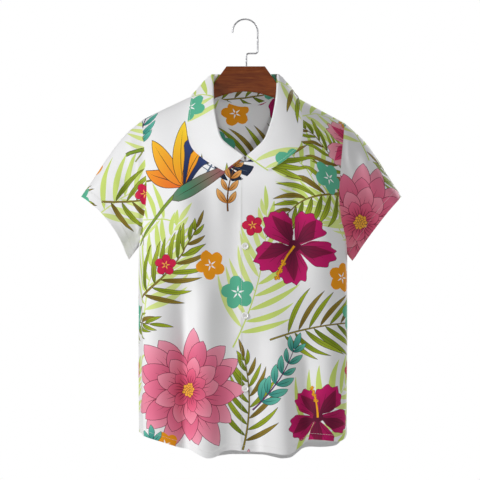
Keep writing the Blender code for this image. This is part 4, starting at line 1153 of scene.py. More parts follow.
def sprig(length, bend, pairs, leaf, width, near, far, stem, ink):
    """Twig with leaves in pairs and one at its tip."""
    line = bow(length, bend, 31)
    ahead = unit(np.gradient(line, axis=0))
    shapes = inked(line, np.linspace(1.9, 0.8, 31), stem, ink, 0.5)
    for k in range(pairs):
        at = int(5 + 24 * k / (pairs - 1))
        heading = math.atan2(*ahead[at][::-1])
        for side in (1, -1):
            long = leaf * (1.0 - 0.35 * k / pairs) * (1 + 0.1 * math.sin(4 * k + side))
            spine = turned(bow(long, -side * 0.5, 12), heading + side * 0.85, line[at])
            half = width * lens(12, 0.5, 0.8) * long / leaf
            shapes += inked(spine, half, (near, far, tuple(line[at]), long), ink, 0.8)
            shapes.append(rib(spine, 1, 10, 0.45, 0.3, ink))
    spine = turned(bow(leaf * 0.8, 0.1, 12), math.atan2(*ahead[-1][::-1]), line[-1])
    shapes += inked(spine, width * 0.8 * lens(12, 0.5, 0.8), (near, far, tuple(line[-1]), leaf), ink, 0.8)
    return shapes


def bud(length, near, far, calyx, ink):
    """Closed flower along +X with its calyx and stem."""
    shapes = []
    for bend, shift, share in ((0.35, -0.10, 0.92), (-0.35, 0.10, 0.92), (0.0, 0.0, 1.0)):
        spine = turned(bow(length * share, bend, 16), shift)
        shapes += inked(spine, length * 0.17 * lens(16, 0.42, 0.8), (near, far, (0, 0), length), ink, 0.9)
        shapes.append(rib(spine, 2, 12, 0.5, 0.3, ink))
    for side in (0.7, -0.7, 0.0):
        spine = turned(bow(length * 0.36, -side * 0.6, 9), side)
        shapes += inked(spine, length * 0.075 * lens(9, 0.45, 0.8), calyx, ink, 0.8)
    stem = bow(length * 0.7, 0.5, 12) * np.array([-1, 1])
    return inked(stem, np.full(12, 1.6), calyx, ink, 0.5) + shapes


# Rings of the bloom, and fills of the leaves as near and far colour or plain
PINKS = ((13, 1.00, 0.17, "#D7265F", "#F4A0B6"), (11, 0.80, 0.17, "#C2104F", "#F07F9F"),
         (9, 0.58, 0.15, "#D8185A", "#F49AB0"), (7, 0.36, 0.11, "#B50E48", "#EF6E90"))
GREENS = (("#6F8212", "#B5C534"), ("#7E9018", "#A9BC2C"), ("#5F7412", "#9CB024"), ("#6E5A18", "#A08A34"))
PALE = ("#CBDF74", "#D8E78E")

MOTIFS = {
    "pale_frond": frond(290, 0.5, 10, 105, 5.6, PALE),
    "pale_fan": frond(210, -0.4, 8, 100, 6.0, PALE[::-1]),
    "frond": frond(290, -0.45, 11, 100, 5.6, GREENS, LEAF_INK),
    "short_frond": frond(190, 0.5, 8, 80, 5.2, GREENS[::-1], LEAF_INK),
    "fan": fan(135, 11, 2.5, 7.0, GREENS, LEAF_INK),
    "bloom": bloom(122, PINKS, "#6B1030"),
    "hibiscus": hibiscus(82, "#C8106A", "#8C0A42", "#5E0630", "#5A0A30"),
    "pink_hibiscus": hibiscus(64, "#F6A9B8", "#E5487A", "#B01048", "#7A1034"),
    "strelitzia": strelitzia(170, INK),
    "monstera": monstera(105, "#0E1626", "#23304A", "#5C6E86", "#0A0F1A"),
    "teal_blossom": blossom(33, "#5CB896", "#FFFFFF"),
    "orange_blossom": blossom(29, "#F09A10", "#FFFFFF"),
    "crimson_blossom": blossom(21, "#D01848", "#F7C04A", "#6B1030"),
    "sprig": sprig(150, 0.5, 6, 46, 8.5, "#1F7F78", "#6CC7B0", "#6A3070", "#17333A"),
    "small_sprig": sprig(95, -0.5, 4, 34, 6.5, "#C8792A", "#EBB268", "#7A4A1C", INK),
    "bud": bud(74, "#D8305F", "#F6B0BE", "#8FA52A", "#6B1030"),
}

REPEAT = (500.0, 740.0)
# Motif, centre across and up in the repeat, turn in degrees, size, in the order they are printed
LAYOUT = (
    ("pale_frond", 225, 235, 62, 1.0), ("pale_frond", 455, 480, 118, 0.95),
    ("pale_fan", 40, 290, 80, 1.0), ("pale_fan", 330, 700, 30, 1.0), ("pale_frond", 110, 480, 152, 0.9),
    ("pale_fan", 370, 40, 60, 1.0), ("frond", 300, 250, 20, 0.9), ("short_frond", 470, 590, 200, 1.0),
    ("frond", 60, 590, 165, 0.8), ("short_frond", 245, 30, 75, 1.0), ("short_frond", 30, 330, 35, 1.0),
    ("fan", 290, 600, 60, 0.8), ("monstera", 190, 610, 60, 0.95), ("strelitzia", 120, 545, 30, 1.0),
    ("bloom", 130, 150, 0, 1.0), ("hibiscus", 350, 440, 200, 1.0), ("hibiscus", 405, 95, 60, 0.8),
    ("pink_hibiscus", 470, 690, 80, 1.0), ("teal_blossom", 235, 345, 10, 1.0),
    ("teal_blossom", 420, 600, 50, 0.9), ("orange_blossom", 180, 400, 30, 1.0),
    ("orange_blossom", 445, 375, 60, 1.0), ("teal_blossom", 478, 300, 0, 1.0),
    ("orange_blossom", 80, 40, 20, 0.9), ("crimson_blossom", 90, 400, 0, 1.0),
    ("crimson_blossom", 265, 480, 20, 1.0), ("crimson_blossom", 480, 190, 20, 1.0),
    ("sprig", 265, 110, 40, 1.0), ("small_sprig", 215, 505, 95, 1.0), ("bud", 245, 700, 80, 1.0),
    ("bud", 20, 480, 120, 0.9), ("sprig", 20, 660, 60, 0.9),
)


# ---------------------------------------------------------------- panels laid flat
def join_seams(pieces):
    """Pieces share their seams' points, and panels also share a normal halfway between theirs."""
    for piece in pieces.values():
        piece["normal"] = piece["normal"].copy()
    for seam in seam_list():
        first, rows, cols = seam[0]
        points = pieces[first]["grid"][rows, cols].copy()
        normal = unit(sum(pieces[name]["normal"][r, c] for name, r, c in seam))
        for name, r, c in seam:
            pieces[name]["grid"][r, c] = points
            if seam[1][0] != "collar":
                pieces[name]["normal"][r, c] = normal


def cloth_grids():
    """Outer grid and outward normals of every cloth piece, rows upwards or along."""
    panels = torso_panels()
    pieces = {}
    for name, (grid, outward) in panels.items():
        normal = grid_normals(grid)
        pieces[name] = {"grid": grid, "normal": normal * np.sign(np.sum(normal * outward))}
    for side, sign in SIDES.items():
        grid, turn = sleeve_grid(armhole_ring(panels, side), side)
        grid = sleeve_folds(grid, turn, ring_normals(grid, sign))
        pieces["sleeve_" + side] = {"grid": grid, "normal": ring_normals(grid, sign)}
    pieces["collar"] = dict(zip(("grid", "normal"), collar_piece(panels)))
    join_seams(pieces)
    collar = pieces["collar"]
    collar["grid"] = collar["grid"] + collar["normal"] * THICK["collar"]
    collar["columns"] = range(1, FALL_FIRST + 1)
    for side in SIDES:
        piece = pieces["sleeve_" + side]
        for key in ("grid", "normal"):
            rolled = np.roll(piece[key], -ROWS_UP, axis=1)
            piece[key] = np.concatenate([rolled, rolled[:, :1]], axis=1)[::-1]
    return pieces


def run_from(grid, axis, zero):
    """Length along a grid's lines, 0 at the row or column numbered zero."""
    steps = np.linalg.norm(np.diff(grid, axis=axis), axis=-1)
    run = np.insert(np.cumsum(steps, axis=axis), 0, 0, axis=axis)
    return run - np.take(run, [zero], axis=axis)


def cells(rows, cols):
    """The four corners of each cell of a grid, as numbers of its points."""
    number = np.arange(rows * cols).reshape(rows, cols)
    return [part.ravel() for part in (number[:-1, :-1], number[:-1, 1:], number[1:, 1:], number[1:, :-1])]


def relaxed(grid, s, t, every):
    """Cut coordinates moved until its coarse triangles keep their true shape, turn by turn.

    Each turn finds the rotation that fits every triangle best, then the points that fit them all.
    """
    rows, cols = s.shape
    i, j = (np.unique(np.append(np.arange(0, n, step), n - 1)) for n, step in zip((rows, cols), every))
    solid = grid[np.ix_(i, j)].reshape(-1, 3)
    start = np.stack([s[np.ix_(i, j)].ravel(), t[np.ix_(i, j)].ravel()], axis=1)
    a, b, c, d = cells(len(i), len(j))
    faces = np.concatenate([np.stack(face, axis=1) for face in ((a, b, c), (a, c, d), (a, b, d), (b, c, d))])
    pull = np.zeros((len(solid), len(solid)))
    sides = []
    for k in range(3):
        p, q, top = faces[:, k], faces[:, (k + 1) % 3], faces[:, (k + 2) % 3]
        to_p, to_q = solid[p] - solid[top], solid[q] - solid[top]
        cot = np.sum(to_p * to_q, axis=1) / np.maximum(np.linalg.norm(np.cross(to_p, to_q), axis=1), 1e-9)
        cot = np.clip(cot, 0.05, 5)
        for x, y, sign in ((p, p, 1), (q, q, 1), (p, q, -1), (q, p, -1)):
            np.add.at(pull, (x, y), sign * cot)
        sides.append((p, q, cot))
    first, second = unit(solid[faces[:, 1]] - solid[faces[:, 0]]), solid[faces[:, 2]] - solid[faces[:, 0]]
    across = unit(second - first * np.sum(second * first, axis=1)[:, None])
    rest = np.stack([np.stack([np.sum((solid[faces[:, k]] - solid[faces[:, 0]]) * axis, axis=1)
                               for axis in (first, across)], axis=1) for k in range(3)], axis=1)
    turn = np.cross(start[faces[:, 1]] - start[faces[:, 0]], start[faces[:, 2]] - start[faces[:, 0]])
    rest[:, :, 1] *= np.sign(np.median(turn))
    solve = np.linalg.inv(pull + np.eye(len(solid)) * 1e-6)
    spots = start.copy()
    for _ in range(RELAX_TURNS):
        moved = [(rest[:, (k + 1) % 3] - rest[:, k], spots[q] - spots[p], cot)
                 for k, (p, q, cot) in enumerate(sides)]
        dot = sum(cot * np.sum(r * m, axis=1) for r, m, cot in moved)
        cross = sum(cot * (r[:, 0] * m[:, 1] - r[:, 1] * m[:, 0]) for r, m, cot in moved)
        angle = np.arctan2(cross, dot)
        c, w = np.cos(angle)[:, None], np.sin(angle)[:, None]
        aim = np.zeros_like(spots)
        for k, (p, q, cot) in enumerate(sides):
            r = rest[:, (k + 1) % 3] - rest[:, k]
            step = cot[:, None] * (r * c + r[:, ::-1] * (-1, 1) * w)
            np.add.at(aim, q, step)
            np.add.at(aim, p, -step)
        spots = solve @ aim
    spots -= spots.mean(axis=0) - start.mean(axis=0)
    grown = (spots - start).reshape(len(i), len(j), 2)
    along = np.stack([[np.interp(np.arange(cols), j, row) for row in grown[:, :, k]] for k in (0, 1)])
    full = np.stack([[np.interp(np.arange(rows), i, column) for column in field.T] for field in along])
    return s + full[0].T, t + full[1].T


def collar_flat(grid):
    """Cut coordinates of the collar: its fall relaxed, and its stand beyond the roll at its own height."""
    roll = FALL_FIRST - 1
    fall = grid[:, roll:]
    s, t = relaxed(fall, run_from(fall, 0, len(grid) // 2), run_from(fall, 1, 0), COLLAR_RELAX)
    ahead = np.gradient(np.stack([s[:, 0], t[:, 0]], axis=1), axis=0)
    for _ in range(ROLL_SMOOTHING):
        ahead[1:-1] = (ahead[:-2] + 2 * ahead[1:-1] + ahead[2:]) / 4
    ahead = unit(ahead)
    side = np.stack([ahead[:, 1], -ahead[:, 0]], axis=1)
    side *= -np.sign(np.sum(side * np.stack([s[:, 1] - s[:, 0], t[:, 1] - t[:, 0]], axis=1)))
    high = -run_from(grid, 1, roll)[:, :roll]
    return (np.concatenate([s[:, :1] + side[:, :1] * high, s], axis=1),
            np.concatenate([t[:, :1] + side[:, 1:] * high, t], axis=1))


def lay_flat(name, piece):
    """Adds the cut's coordinates s and t at each grid point, not mirrored as seen from outside.

    Adds the steps to the next column and row too, and how far each point lies from each edge.
    """
    grid = piece["grid"]
    rows, cols = grid.shape[:2]
    if name == "collar":
        s, t = collar_flat(grid)
    elif name.startswith("sleeve"):
        s, t = relaxed(grid, run_from(grid, 1, cols // 2), run_from(grid, 0, 0), SLEEVE_RELAX)
    else:
        sign = -1 if name == "front_right" else 1
        s = run_from(grid * (1, 1, 0), 1, cols // 2 if name == "back" else 0) * sign
        s += grid[:, :1, 0] * (name != "back")
        t = run_from(grid * (0, 1, 1), 0, ROWS_LOW) + CHEST_Z
        t[:ROWS_LOW] = grid[:ROWS_LOW, :, 2]
    du, dv = np.gradient(grid, axis=1), np.gradient(grid, axis=0)
    su, sv, tu, tv = (np.gradient(field, axis=axis)[..., None] for field in (s, t) for axis in (1, 0))
    scale = su * tv - sv * tu
    along_s, along_t = (du * tv - dv * tu) / scale, (dv * su - du * sv) / scale
    if np.sum(np.cross(along_s, along_t) * piece["normal"]) < 0:
        s = -s
    gaps = {"first": run_from(grid, 1, 0), "last": -run_from(grid, 1, cols - 1),
            "low": run_from(grid, 0, 0), "high": -run_from(grid, 0, rows - 1)}
    piece.update(s=s, t=t, du=du, dv=dv, gaps=gaps)


def edge_line(piece, line, off, end=1.0):
    """Columns and rows of a line that keeps its distance from one of a piece's edges."""
    gap = piece["gaps"][line].T if line in ("low", "high") else piece["gaps"][line]
    place_at = np.arange(gap.shape[1])
    way = 1 if line in ("low", "first") else -1
    deep = np.array([np.interp(off, row[::way], place_at[::way]) for row in gap])
    part = np.linspace(0, end, EDGE_POINTS) * (len(deep) - 1)
    across = np.interp(part, np.arange(len(deep)), deep)
    return (part, across) if line in ("low", "high") else (across, part)


def sample(field, u, v):
    """A grid's values at column u and row v, both as fractions of a step."""
    rows, cols = field.shape[:2]
    i, j = np.clip(np.floor(v).astype(int), 0, rows - 2), np.clip(np.floor(u).astype(int), 0, cols - 2)
    q, p = v - i, u - j
    if field.ndim == 3:
        q, p = q[:, None], p[:, None]
    return ((1 - q) * ((1 - p) * field[i, j] + p * field[i, j + 1])
            + q * ((1 - p) * field[i + 1, j] + p * field[i + 1, j + 1]))


def locate(piece, spots):
    """Column and row of spots given in the cut's coordinates."""
    rows, cols = piece["s"].shape
    flat = np.stack([piece["s"], piece["t"], np.zeros((rows, cols))], axis=2).reshape(-1, 3)
    a, b, c, d = cells(rows, cols)
    faces = np.concatenate([np.stack([a, b, c], axis=1), np.stack([a, c, d], axis=1)])
    tree = BVHTree.FromPolygons(flat.tolist(), faces.tolist(), all_triangles=True)
    hits = [tree.find_nearest((x, y, 0)) for x, y in spots.tolist()]
    own = faces[[hit[2] for hit in hits]]
    at = np.array([hit[0][:2] for hit in hits])
    first, second, third = (flat[own[:, k], :2] for k in range(3))
    (ax, ay), (bx, by), (px, py) = (second - first).T, (third - first).T, (at - first).T
    scale = ax * by - ay * bx
    scale = np.where(np.abs(scale) < 1e-9, 1, scale)
    p, q = (px * by - py * bx) / scale, (ax * py - ay * px) / scale
    start, one, two = (np.stack([own[:, k] % cols, own[:, k] // cols]).astype(float) for k in range(3))
    return start + (one - start) * p + (two - start) * q


def inside(points, outline):
    """Which points lie inside a closed outline, counting its turns round them."""
    lo, hi = outline.min(axis=0), outline.max(axis=0)
    held = np.flatnonzero(np.all((points > lo) & (points < hi), axis=1))
    (x0, y0), (x1, y1) = outline.T, np.roll(outline, -1, axis=0).T
    rise = y1 - y0
    slope = (x1 - x0) / np.where(rise == 0, 1, rise)
    found = []
    for part in np.array_split(held, 1 + len(held) * len(outline) // CHUNK):
        x, y = points[part, 0, None], points[part, 1, None]
        cross = ((y0 > y) != (y1 > y)) & (x < slope * (y - y0) + x0)
        found.append(part[(cross * np.sign(rise)).sum(axis=1) != 0])
    return np.concatenate(found)


def clipped(start, end, lo, hi):
    """The parts of segments inside a box."""
    step = end - start
    safe = np.where(np.abs(step) < 1e-9, 1e-9, step)
    a, b = (lo - start) / safe, (hi - start) / safe
    first = np.maximum(np.minimum(a, b).max(axis=1), 0)
    last = np.minimum(np.maximum(a, b).min(axis=1), 1)
    keep = first < last
    start, step, first, last = start[keep], step[keep], first[keep, None], last[keep, None]
    return start + step * first, start + step * last


def triangulate(border, lines, step):
    """Triangles inside a border that keep the given lines."""
    lo, hi = border.min(axis=0), border.max(axis=0)
    points = [border]
    count = len(border)
    edges = [np.stack([np.arange(count), np.roll(np.arange(count), -1)], axis=1)]
    for line in lines:
        start, end = clipped(line[:-1], line[1:], lo, hi)
        number = np.arange(len(start)) + count
        points += [start, end]
        edges.append(np.stack([number, number + len(start)], axis=1))
        count += 2 * len(start)
    x, y = np.meshgrid(*(np.arange(a + step / 2, b, way) for a, b, way in zip(lo, hi, (step, step * 0.87))))
    x[1::2] += step / 2
    fill = np.stack([x.ravel(), y.ravel()], axis=1)
    points.append(fill[inside(fill, border)])
    points = [Vector(point) for point in np.concatenate(points).tolist()]
    made = delaunay_2d_cdt(points, np.concatenate(edges).tolist(), [], 0, WELD, False)
    points, faces = np.array([tuple(point) for point in made[0]]), np.array(made[2])
    faces = faces[inside(points[faces].mean(axis=1), border)]
    a, b, c = (points[faces[:, k]] for k in range(3))
    clockwise = (b - a)[:, 0] * (c - a)[:, 1] < (b - a)[:, 1] * (c - a)[:, 0]
    faces[clockwise] = faces[clockwise][:, ::-1]
    used = np.unique(faces)
    number = np.zeros(len(points), int)
    number[used] = np.arange(len(used))
    return points[used], number[faces]


def rim_loops(faces):
    """The borders of a triangulation, each as its vertices in order."""
    sides = set(map(tuple, np.concatenate([faces[:, [0, 1]], faces[:, [1, 2]], faces[:, [2, 0]]]).tolist()))
    ahead = {a: b for a, b in sides if (b, a) not in sides}
    loops = []
    while ahead:
        loop = [min(ahead)]
        while loop[-1] in ahead:
            loop.append(ahead.pop(loop[-1]))
        loops.append(np.array(loop[:-1]))
    return sorted(loops, key=len, reverse=True)


# ---------------------------------------------------------------- cloth shells
def relief(points, name):
    """Height of the fine creases and the cloth's slow waves over a panel."""
    x, z = points[:, 0], points[:, 2]
    total = np.zeros(len(points))
    for x0, z0, x1, z1, before, after, height in CREASES.get(name, ()):
        run = math.hypot(x1 - x0, z1 - z0)
        ahead = np.array([x1 - x0, z1 - z0]) / run
        part = ((x - x0) * ahead[0] + (z - z0) * ahead[1]) / run
        away = (x - x0) * ahead[1] - (z - z0) * ahead[0]
        away = np.where(z1 < z0, -away, away)
        ease = eased(np.clip(np.minimum(part, 1 - part) / CREASE_EASE + 0.02, 0, 1))
        total += height * ease * np.exp(-(away / np.where(away < 0, before, after)) ** 2)
    for wave, (kx, kz, high) in enumerate(WAVES):
        swing = WAVE_BEND[0] * np.sin(z / WAVE_BEND[2] + wave + x / WAVE_BEND[1])
        total += high * np.sin(x / kx + z / kz + WAVE_SHIFT * wave + swing)
    return total


def height(piece, name, u, v):
    """Height of the creases, waves and turned bands at grid places."""
    gaps = {line: sample(field, u, v) for line, field in piece["gaps"].items()}
    fade = np.ones(len(u))
    for gap, sewn in zip(gaps.values(), SEWN[name.split("_")[0]]):
        fade = np.minimum(fade, np.clip(gap / EDGE_FADE, 0, 1) if sewn else 1)
    total = relief(sample(piece["grid"], u, v), name) * fade
    for line, width, high in BANDS.get(name, ()):
        total += high * eased(np.clip((width - gaps[line]) / BAND_RAMP + 0.5, 0, 1))
    return total


def surface(piece, name, u, v):
    """Outer points and normals at grid places, with the fine relief."""
    rows, cols = piece["s"].shape
    base, normal = sample(piece["grid"], u, v), unit(sample(piece["normal"], u, v))
    across, up = sample(piece["du"], u, v), sample(piece["dv"], u, v)
    small_u, small_v = (PROBE / np.linalg.norm(way, axis=1) for way in (across, up))
    low_u, high_u = np.clip(u - small_u, 0, cols - 1), np.clip(u + small_u, 0, cols - 1)
    low_v, high_v = np.clip(v - small_v, 0, rows - 1), np.clip(v + small_v, 0, rows - 1)
    rise_u = (height(piece, name, high_u, v) - height(piece, name, low_u, v)) / (high_u - low_u)
    rise_v = (height(piece, name, u, high_v) - height(piece, name, u, low_v)) / (high_v - low_v)
    uu, uv, vv = np.sum(across * across, axis=1), np.sum(across * up, axis=1), np.sum(up * up, axis=1)
    scale = np.maximum(uu * vv - uv * uv, 1e-9)
    slope = (across * ((rise_u * vv - rise_v * uv) / scale)[:, None]
             + up * ((rise_v * uu - rise_u * uv) / scale)[:, None])
    high = height(piece, name, u, v)
    return base + normal * high[:, None], unit(normal - slope)


def colour_of(code):
    """Linear colour of a hexadecimal sRGB code."""
    part = np.array([int(code[k:k + 2], 16) for k in (1, 3, 5)]) / 255
    return np.where(part <= 0.04045, part / 12.92, ((part + 0.055) / 1.055) ** 2.4)


def tint(paint, spots):
    """Linear colours at spots of a shape painted flat, or shaded outwards from a centre."""
    if isinstance(paint, str):
        return np.broadcast_to(colour_of(paint), (len(spots), 3))
    near, far, centre, reach = paint
    part = np.clip(np.linalg.norm(spots - np.array(centre), axis=1) / reach, 0, 1)[:, None]
    return colour_of(near) * (1 - part) + colour_of(far) * part


def printed(spots, faces, shapes, region=None):
    """Colours at each triangle's corners from the shape on top there, plain outside the region."""
    middle = spots[faces].mean(axis=1)
    top = np.full(len(faces), -1)
    for number, (outline, _) in enumerate(shapes):
        top[inside(middle, outline)] = number
    if region is not None:
        top[np.setdiff1d(np.arange(len(faces)), inside(middle, region))] = -1
    colours = np.broadcast_to(colour_of(GROUND), (len(faces), 3, 3)).copy()
    for number in np.unique(top[top >= 0]):
        own = np.flatnonzero(top == number)
        colours[own] = tint(shapes[number][1], spots[faces[own]].reshape(-1, 2)).reshape(-1, 3, 3)
    return colours


def print_over(border, shift):
    """The repeat's shapes over a stretch of cloth, in the order they are printed."""
    lo, hi = border.min(axis=0), border.max(axis=0)
    shapes = []
    for motif, x, y, turn, size in LAYOUT:
        for i, j in itertools.product(COPIES, repeat=2):
            at = np.array([x + i * REPEAT[0], y + j * REPEAT[1]]) + shift
            if np.all(at > lo - MOTIF_REACH) and np.all(at < hi + MOTIF_REACH):
                shapes += [shape for shape in placed(MOTIFS[motif], math.radians(turn), at, size)
                           if np.all(shape[0].max(axis=0) > lo) and np.all(shape[0].min(axis=0) < hi)]
    return shapes


def kept(line, region):
    """The stretches of a line inside a region, cut fine and a step longer at each end."""
    run = lengths(line)
    fine = np.union1d(np.arange(0, run[-1], KEPT_STEP), run)
    points = read(line, run, fine)
    held = np.zeros(len(points), bool)
    held[inside(points, region)] = True
    held[:-1] |= held[1:].copy()
    held[1:] |= held[:-1].copy()
    ends = np.flatnonzero(np.diff(np.concatenate([[False], held, [False]]).astype(int))).reshape(-1, 2)
    return [points[a:b] for a, b in ends if b - a > 1]


def facing(name, piece, flat):
    """Outline of the part that is printed inside, if there is one, and its shapes."""
    if name not in LININGS:
        return None, []
    side, low, tape, shift = LININGS[name]
    edge = sample(flat, *edge_line(piece, "high", tape))
    edge = edge[np.abs(edge[:, 0]) < side]
    region = np.concatenate([edge, [(edge[-1, 0], low), (edge[0, 0], low)]])
    return region, print_over(region, shift)


def rim_quads(loop, match):
    """Quads between a border of the outside and the vertices that match it on the inside."""
    after = np.roll(np.arange(len(loop)), -1)
    return np.stack([loop[after], loop, match, match[after]], axis=1)


def shell_mesh(name, outer, inner, faces, inner_faces, rim):
    """Closed shell of triangles and the quads of its rims, with its corners."""
    corners = np.concatenate([faces.ravel(), inner_faces.ravel() + len(outer), rim.ravel()])
    sizes = np.repeat([3, 4], [len(faces) + len(inner_faces), len(rim)])
    return new_mesh(name, np.concatenate([outer, inner]) * MM, corners, sizes), corners


def cloth_shell(name, piece, shift):
    """One cut of cloth as a thin closed shell, printed outside."""
    flat = np.stack([piece["s"], piece["t"]], axis=2)
    border = np.concatenate([flat[0, :-1], flat[:-1, -1], flat[-1, :0:-1], flat[:0:-1, 0]])
    shapes = print_over(border, shift)
    guides = [flat[:, column] for column in piece.get("columns", ())]
    for line, width, _ in BANDS.get(name, ()):
        for off in (width - BAND_RAMP / 2, width, width + BAND_RAMP / 2):
            guides.append(sample(flat, *edge_line(piece, line, off)))
    spots, faces = triangulate(border, [closed(line) for line, _ in shapes] + guides, STEP)
    loop = rim_loops(faces)[0]
    region, lined = facing(name, piece, flat)
    outlines = [line for shape, _ in lined for line in kept(closed(shape), region)]
    if lined:
        outlines.append(closed(region))
    plain, plain_faces = triangulate(spots[loop], outlines + guides, STEP)
    plain_faces = plain_faces[:, ::-1]
    outer, normal = surface(piece, name, *locate(piece, spots))
    back, back_normal = surface(piece, name, *locate(piece, plain))
    inner = back - back_normal * THICK[name.split("_")[0]]
    match = np.array([np.argmin(((plain - spot) ** 2).sum(axis=1)) for spot in spots[loop]])
    mesh, corners = shell_mesh("cloth_" + name, outer, inner, faces, plain_faces,
                               rim_quads(loop, match + len(outer)))
    follow = np.roll(loop, -1)
    rim_normal = np.repeat(unit(np.cross(outer[follow] - outer[loop], normal[loop])), 4, axis=0)
    normals = np.concatenate([normal[faces.ravel()], -back_normal[plain_faces.ravel()], rim_normal])
    mesh.normals_split_custom_set(normals.tolist())
    tones = np.concatenate([printed(spots, faces, shapes), printed(plain, plain_faces, lined, region)])
    colours = np.ones((len(corners), 4))
    colours[:, :3] = colour_of(GROUND)
    colours[:tones.size // 3, :3] = tones.reshape(-1, 3)
    mesh.attributes.new("print", "FLOAT_COLOR", "CORNER").data.foreach_set("color", colours.ravel())
    a, b = spots[loop], spots[follow]
    out = unit((b - a)[:, ::-1] * (1, -1)) * RIM_MAP
    strip = np.stack([b, a, a + out, b + out], axis=1).reshape(-1, 2)
    add_maps(mesh, border, spots[faces.ravel()], plain[plain_faces.ravel()], strip)
    return place("cloth_" + name, mesh, "cloth")


def add_maps(mesh, border, front, behind, strip):
    """Maps of the cut itself, and of all parts side by side in a square for baking."""
    lo, hi = border.min(axis=0), border.max(axis=0)
    wide, tall = hi - lo + 2 * MAP_EDGE
    small = (behind - lo) * INNER_MAP + [wide + MAP_EDGE, 0]
    reach = max(wide + INNER_MAP * (hi - lo)[0] + 2 * MAP_EDGE, tall)
    square = (np.concatenate([front - lo, small, strip - lo]) + MAP_EDGE) / reach
    for layer, places in (("Cut", np.concatenate([front, behind, strip]) * MM), ("OFBake", square)):
        mesh.uv_layers.new(name=layer).data.foreach_set("uv", places.ravel())


def new_mesh(name, verts, corners, sizes):
    """Mesh from its vertices, the vertex of each corner, and the corners of each face."""
    mesh = bpy.data.meshes.new(name)
    mesh.vertices.add(len(verts))
    mesh.vertices.foreach_set("co", np.ascontiguousarray(verts, dtype=np.float32).ravel())
    mesh.loops.add(len(corners))
    mesh.loops.foreach_set("vertex_index", corners.astype(np.int32))
    mesh.polygons.add(len(sizes))
    mesh.polygons.foreach_set("loop_start", (np.cumsum(sizes) - sizes).astype(np.int32))
    mesh.update(calc_edges=True)
    mesh.shade_smooth()
    return mesh


def place(name, data, finish):
    """Object of a mesh or curve, with its material and slot, on the part's one body."""
    piece = bpy.data.objects.new(name, data)
    data.materials.append(MATERIALS[finish])
    bpy.context.scene.collection.objects.link(piece)
    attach(piece, "root")
    return piece


# ---------------------------------------------------------------- thread, buttons, hook
def spaced(points, normals, pitch):
    """Points, directions and normals at an even pitch along a line."""
    run = lengths(points)
    at = np.arange(pitch / 2, run[-1], pitch)
    ahead = read(points, run, at + 0.5) - read(points, run, at - 0.5)
    return read(points, run, at), unit(ahead), unit(read(normals, run, at))


def dashes(middle, ahead, normal, long, radius):
    """Stitches: short threads that rise from the cloth and go back into it. Vertices and faces."""
    side = unit(np.cross(ahead, normal))
    turns = [2 * math.pi * k / STITCH_SIDES for k in range(STITCH_SIDES)]
    template = [(part * long, radius * share * math.cos(turn), radius * (lift + share * math.sin(turn)))
                for part, lift, share in STITCH_RINGS for turn in turns]
    axes = np.stack([ahead, side, normal], axis=1)
    verts = middle[:, None] + np.einsum("vk,nkx->nvx", np.array(template), axes)
    last = (len(STITCH_RINGS) - 1) * STITCH_SIDES
    faces = []
    for ring in range(0, last, STITCH_SIDES):
        for k in range(STITCH_SIDES):
            a, b = ring + k, ring + (k + 1) % STITCH_SIDES
            faces.append((a, b, b + STITCH_SIDES, a + STITCH_SIDES))
    faces.append(tuple(range(STITCH_SIDES))[::-1])
    faces.append(tuple(range(last, last + STITCH_SIDES)))
    return verts, faces


def thread_mesh(name, runs):
    """One mesh of all the stitches of some lines: (middle, ahead, normal, length, radius) each."""
    verts, corners, sizes, count = [], [], [], 0
    for run in runs:
        own, faces = dashes(*run)
        flat = np.concatenate([np.array(face) for face in faces])
        number = np.arange(len(own)) * own.shape[1] + count
        corners.append((flat[None] + number[:, None]).ravel())
        sizes.append(np.tile([len(face) for face in faces], len(own)))
        verts.append(own.reshape(-1, 3))
        count += own.shape[0] * own.shape[1]
    return new_mesh(name, np.concatenate(verts) * MM, np.concatenate(corners), np.concatenate(sizes))


def seam_stitches(pieces):
    """Lines of stitches: along hems and cuffs, the button stand's edge and the collar's edge."""
    runs = []
    for name, line, end, off in STITCH_LINES:
        points, normals = surface(pieces[name], name, *edge_line(pieces[name], line, off, end))
        runs.append((*spaced(points, normals, STITCH_PITCH), STITCH_LONG, THREAD_RADIUS))
    return runs


def buttonhole(x, y, z):
    """Close stitches round a slit under a button."""
    turn = np.linspace(0, 2 * math.pi, HOLE_POINTS)
    high = HOLE_HALF * np.sign(np.sin(turn)) * np.abs(np.sin(turn)) ** HOLE_SQUARE
    loop = np.stack([HOLE_WIDE * np.cos(turn), np.zeros(HOLE_POINTS), high], axis=1) + (x, y, z)
    middle, ahead, normals = spaced(loop, np.tile((0.0, -1.0, 0.0), (HOLE_POINTS, 1)), HOLE_PITCH)
    return middle, unit(np.cross(ahead, normals)), normals, HOLE_STITCH, HOLE_THREAD


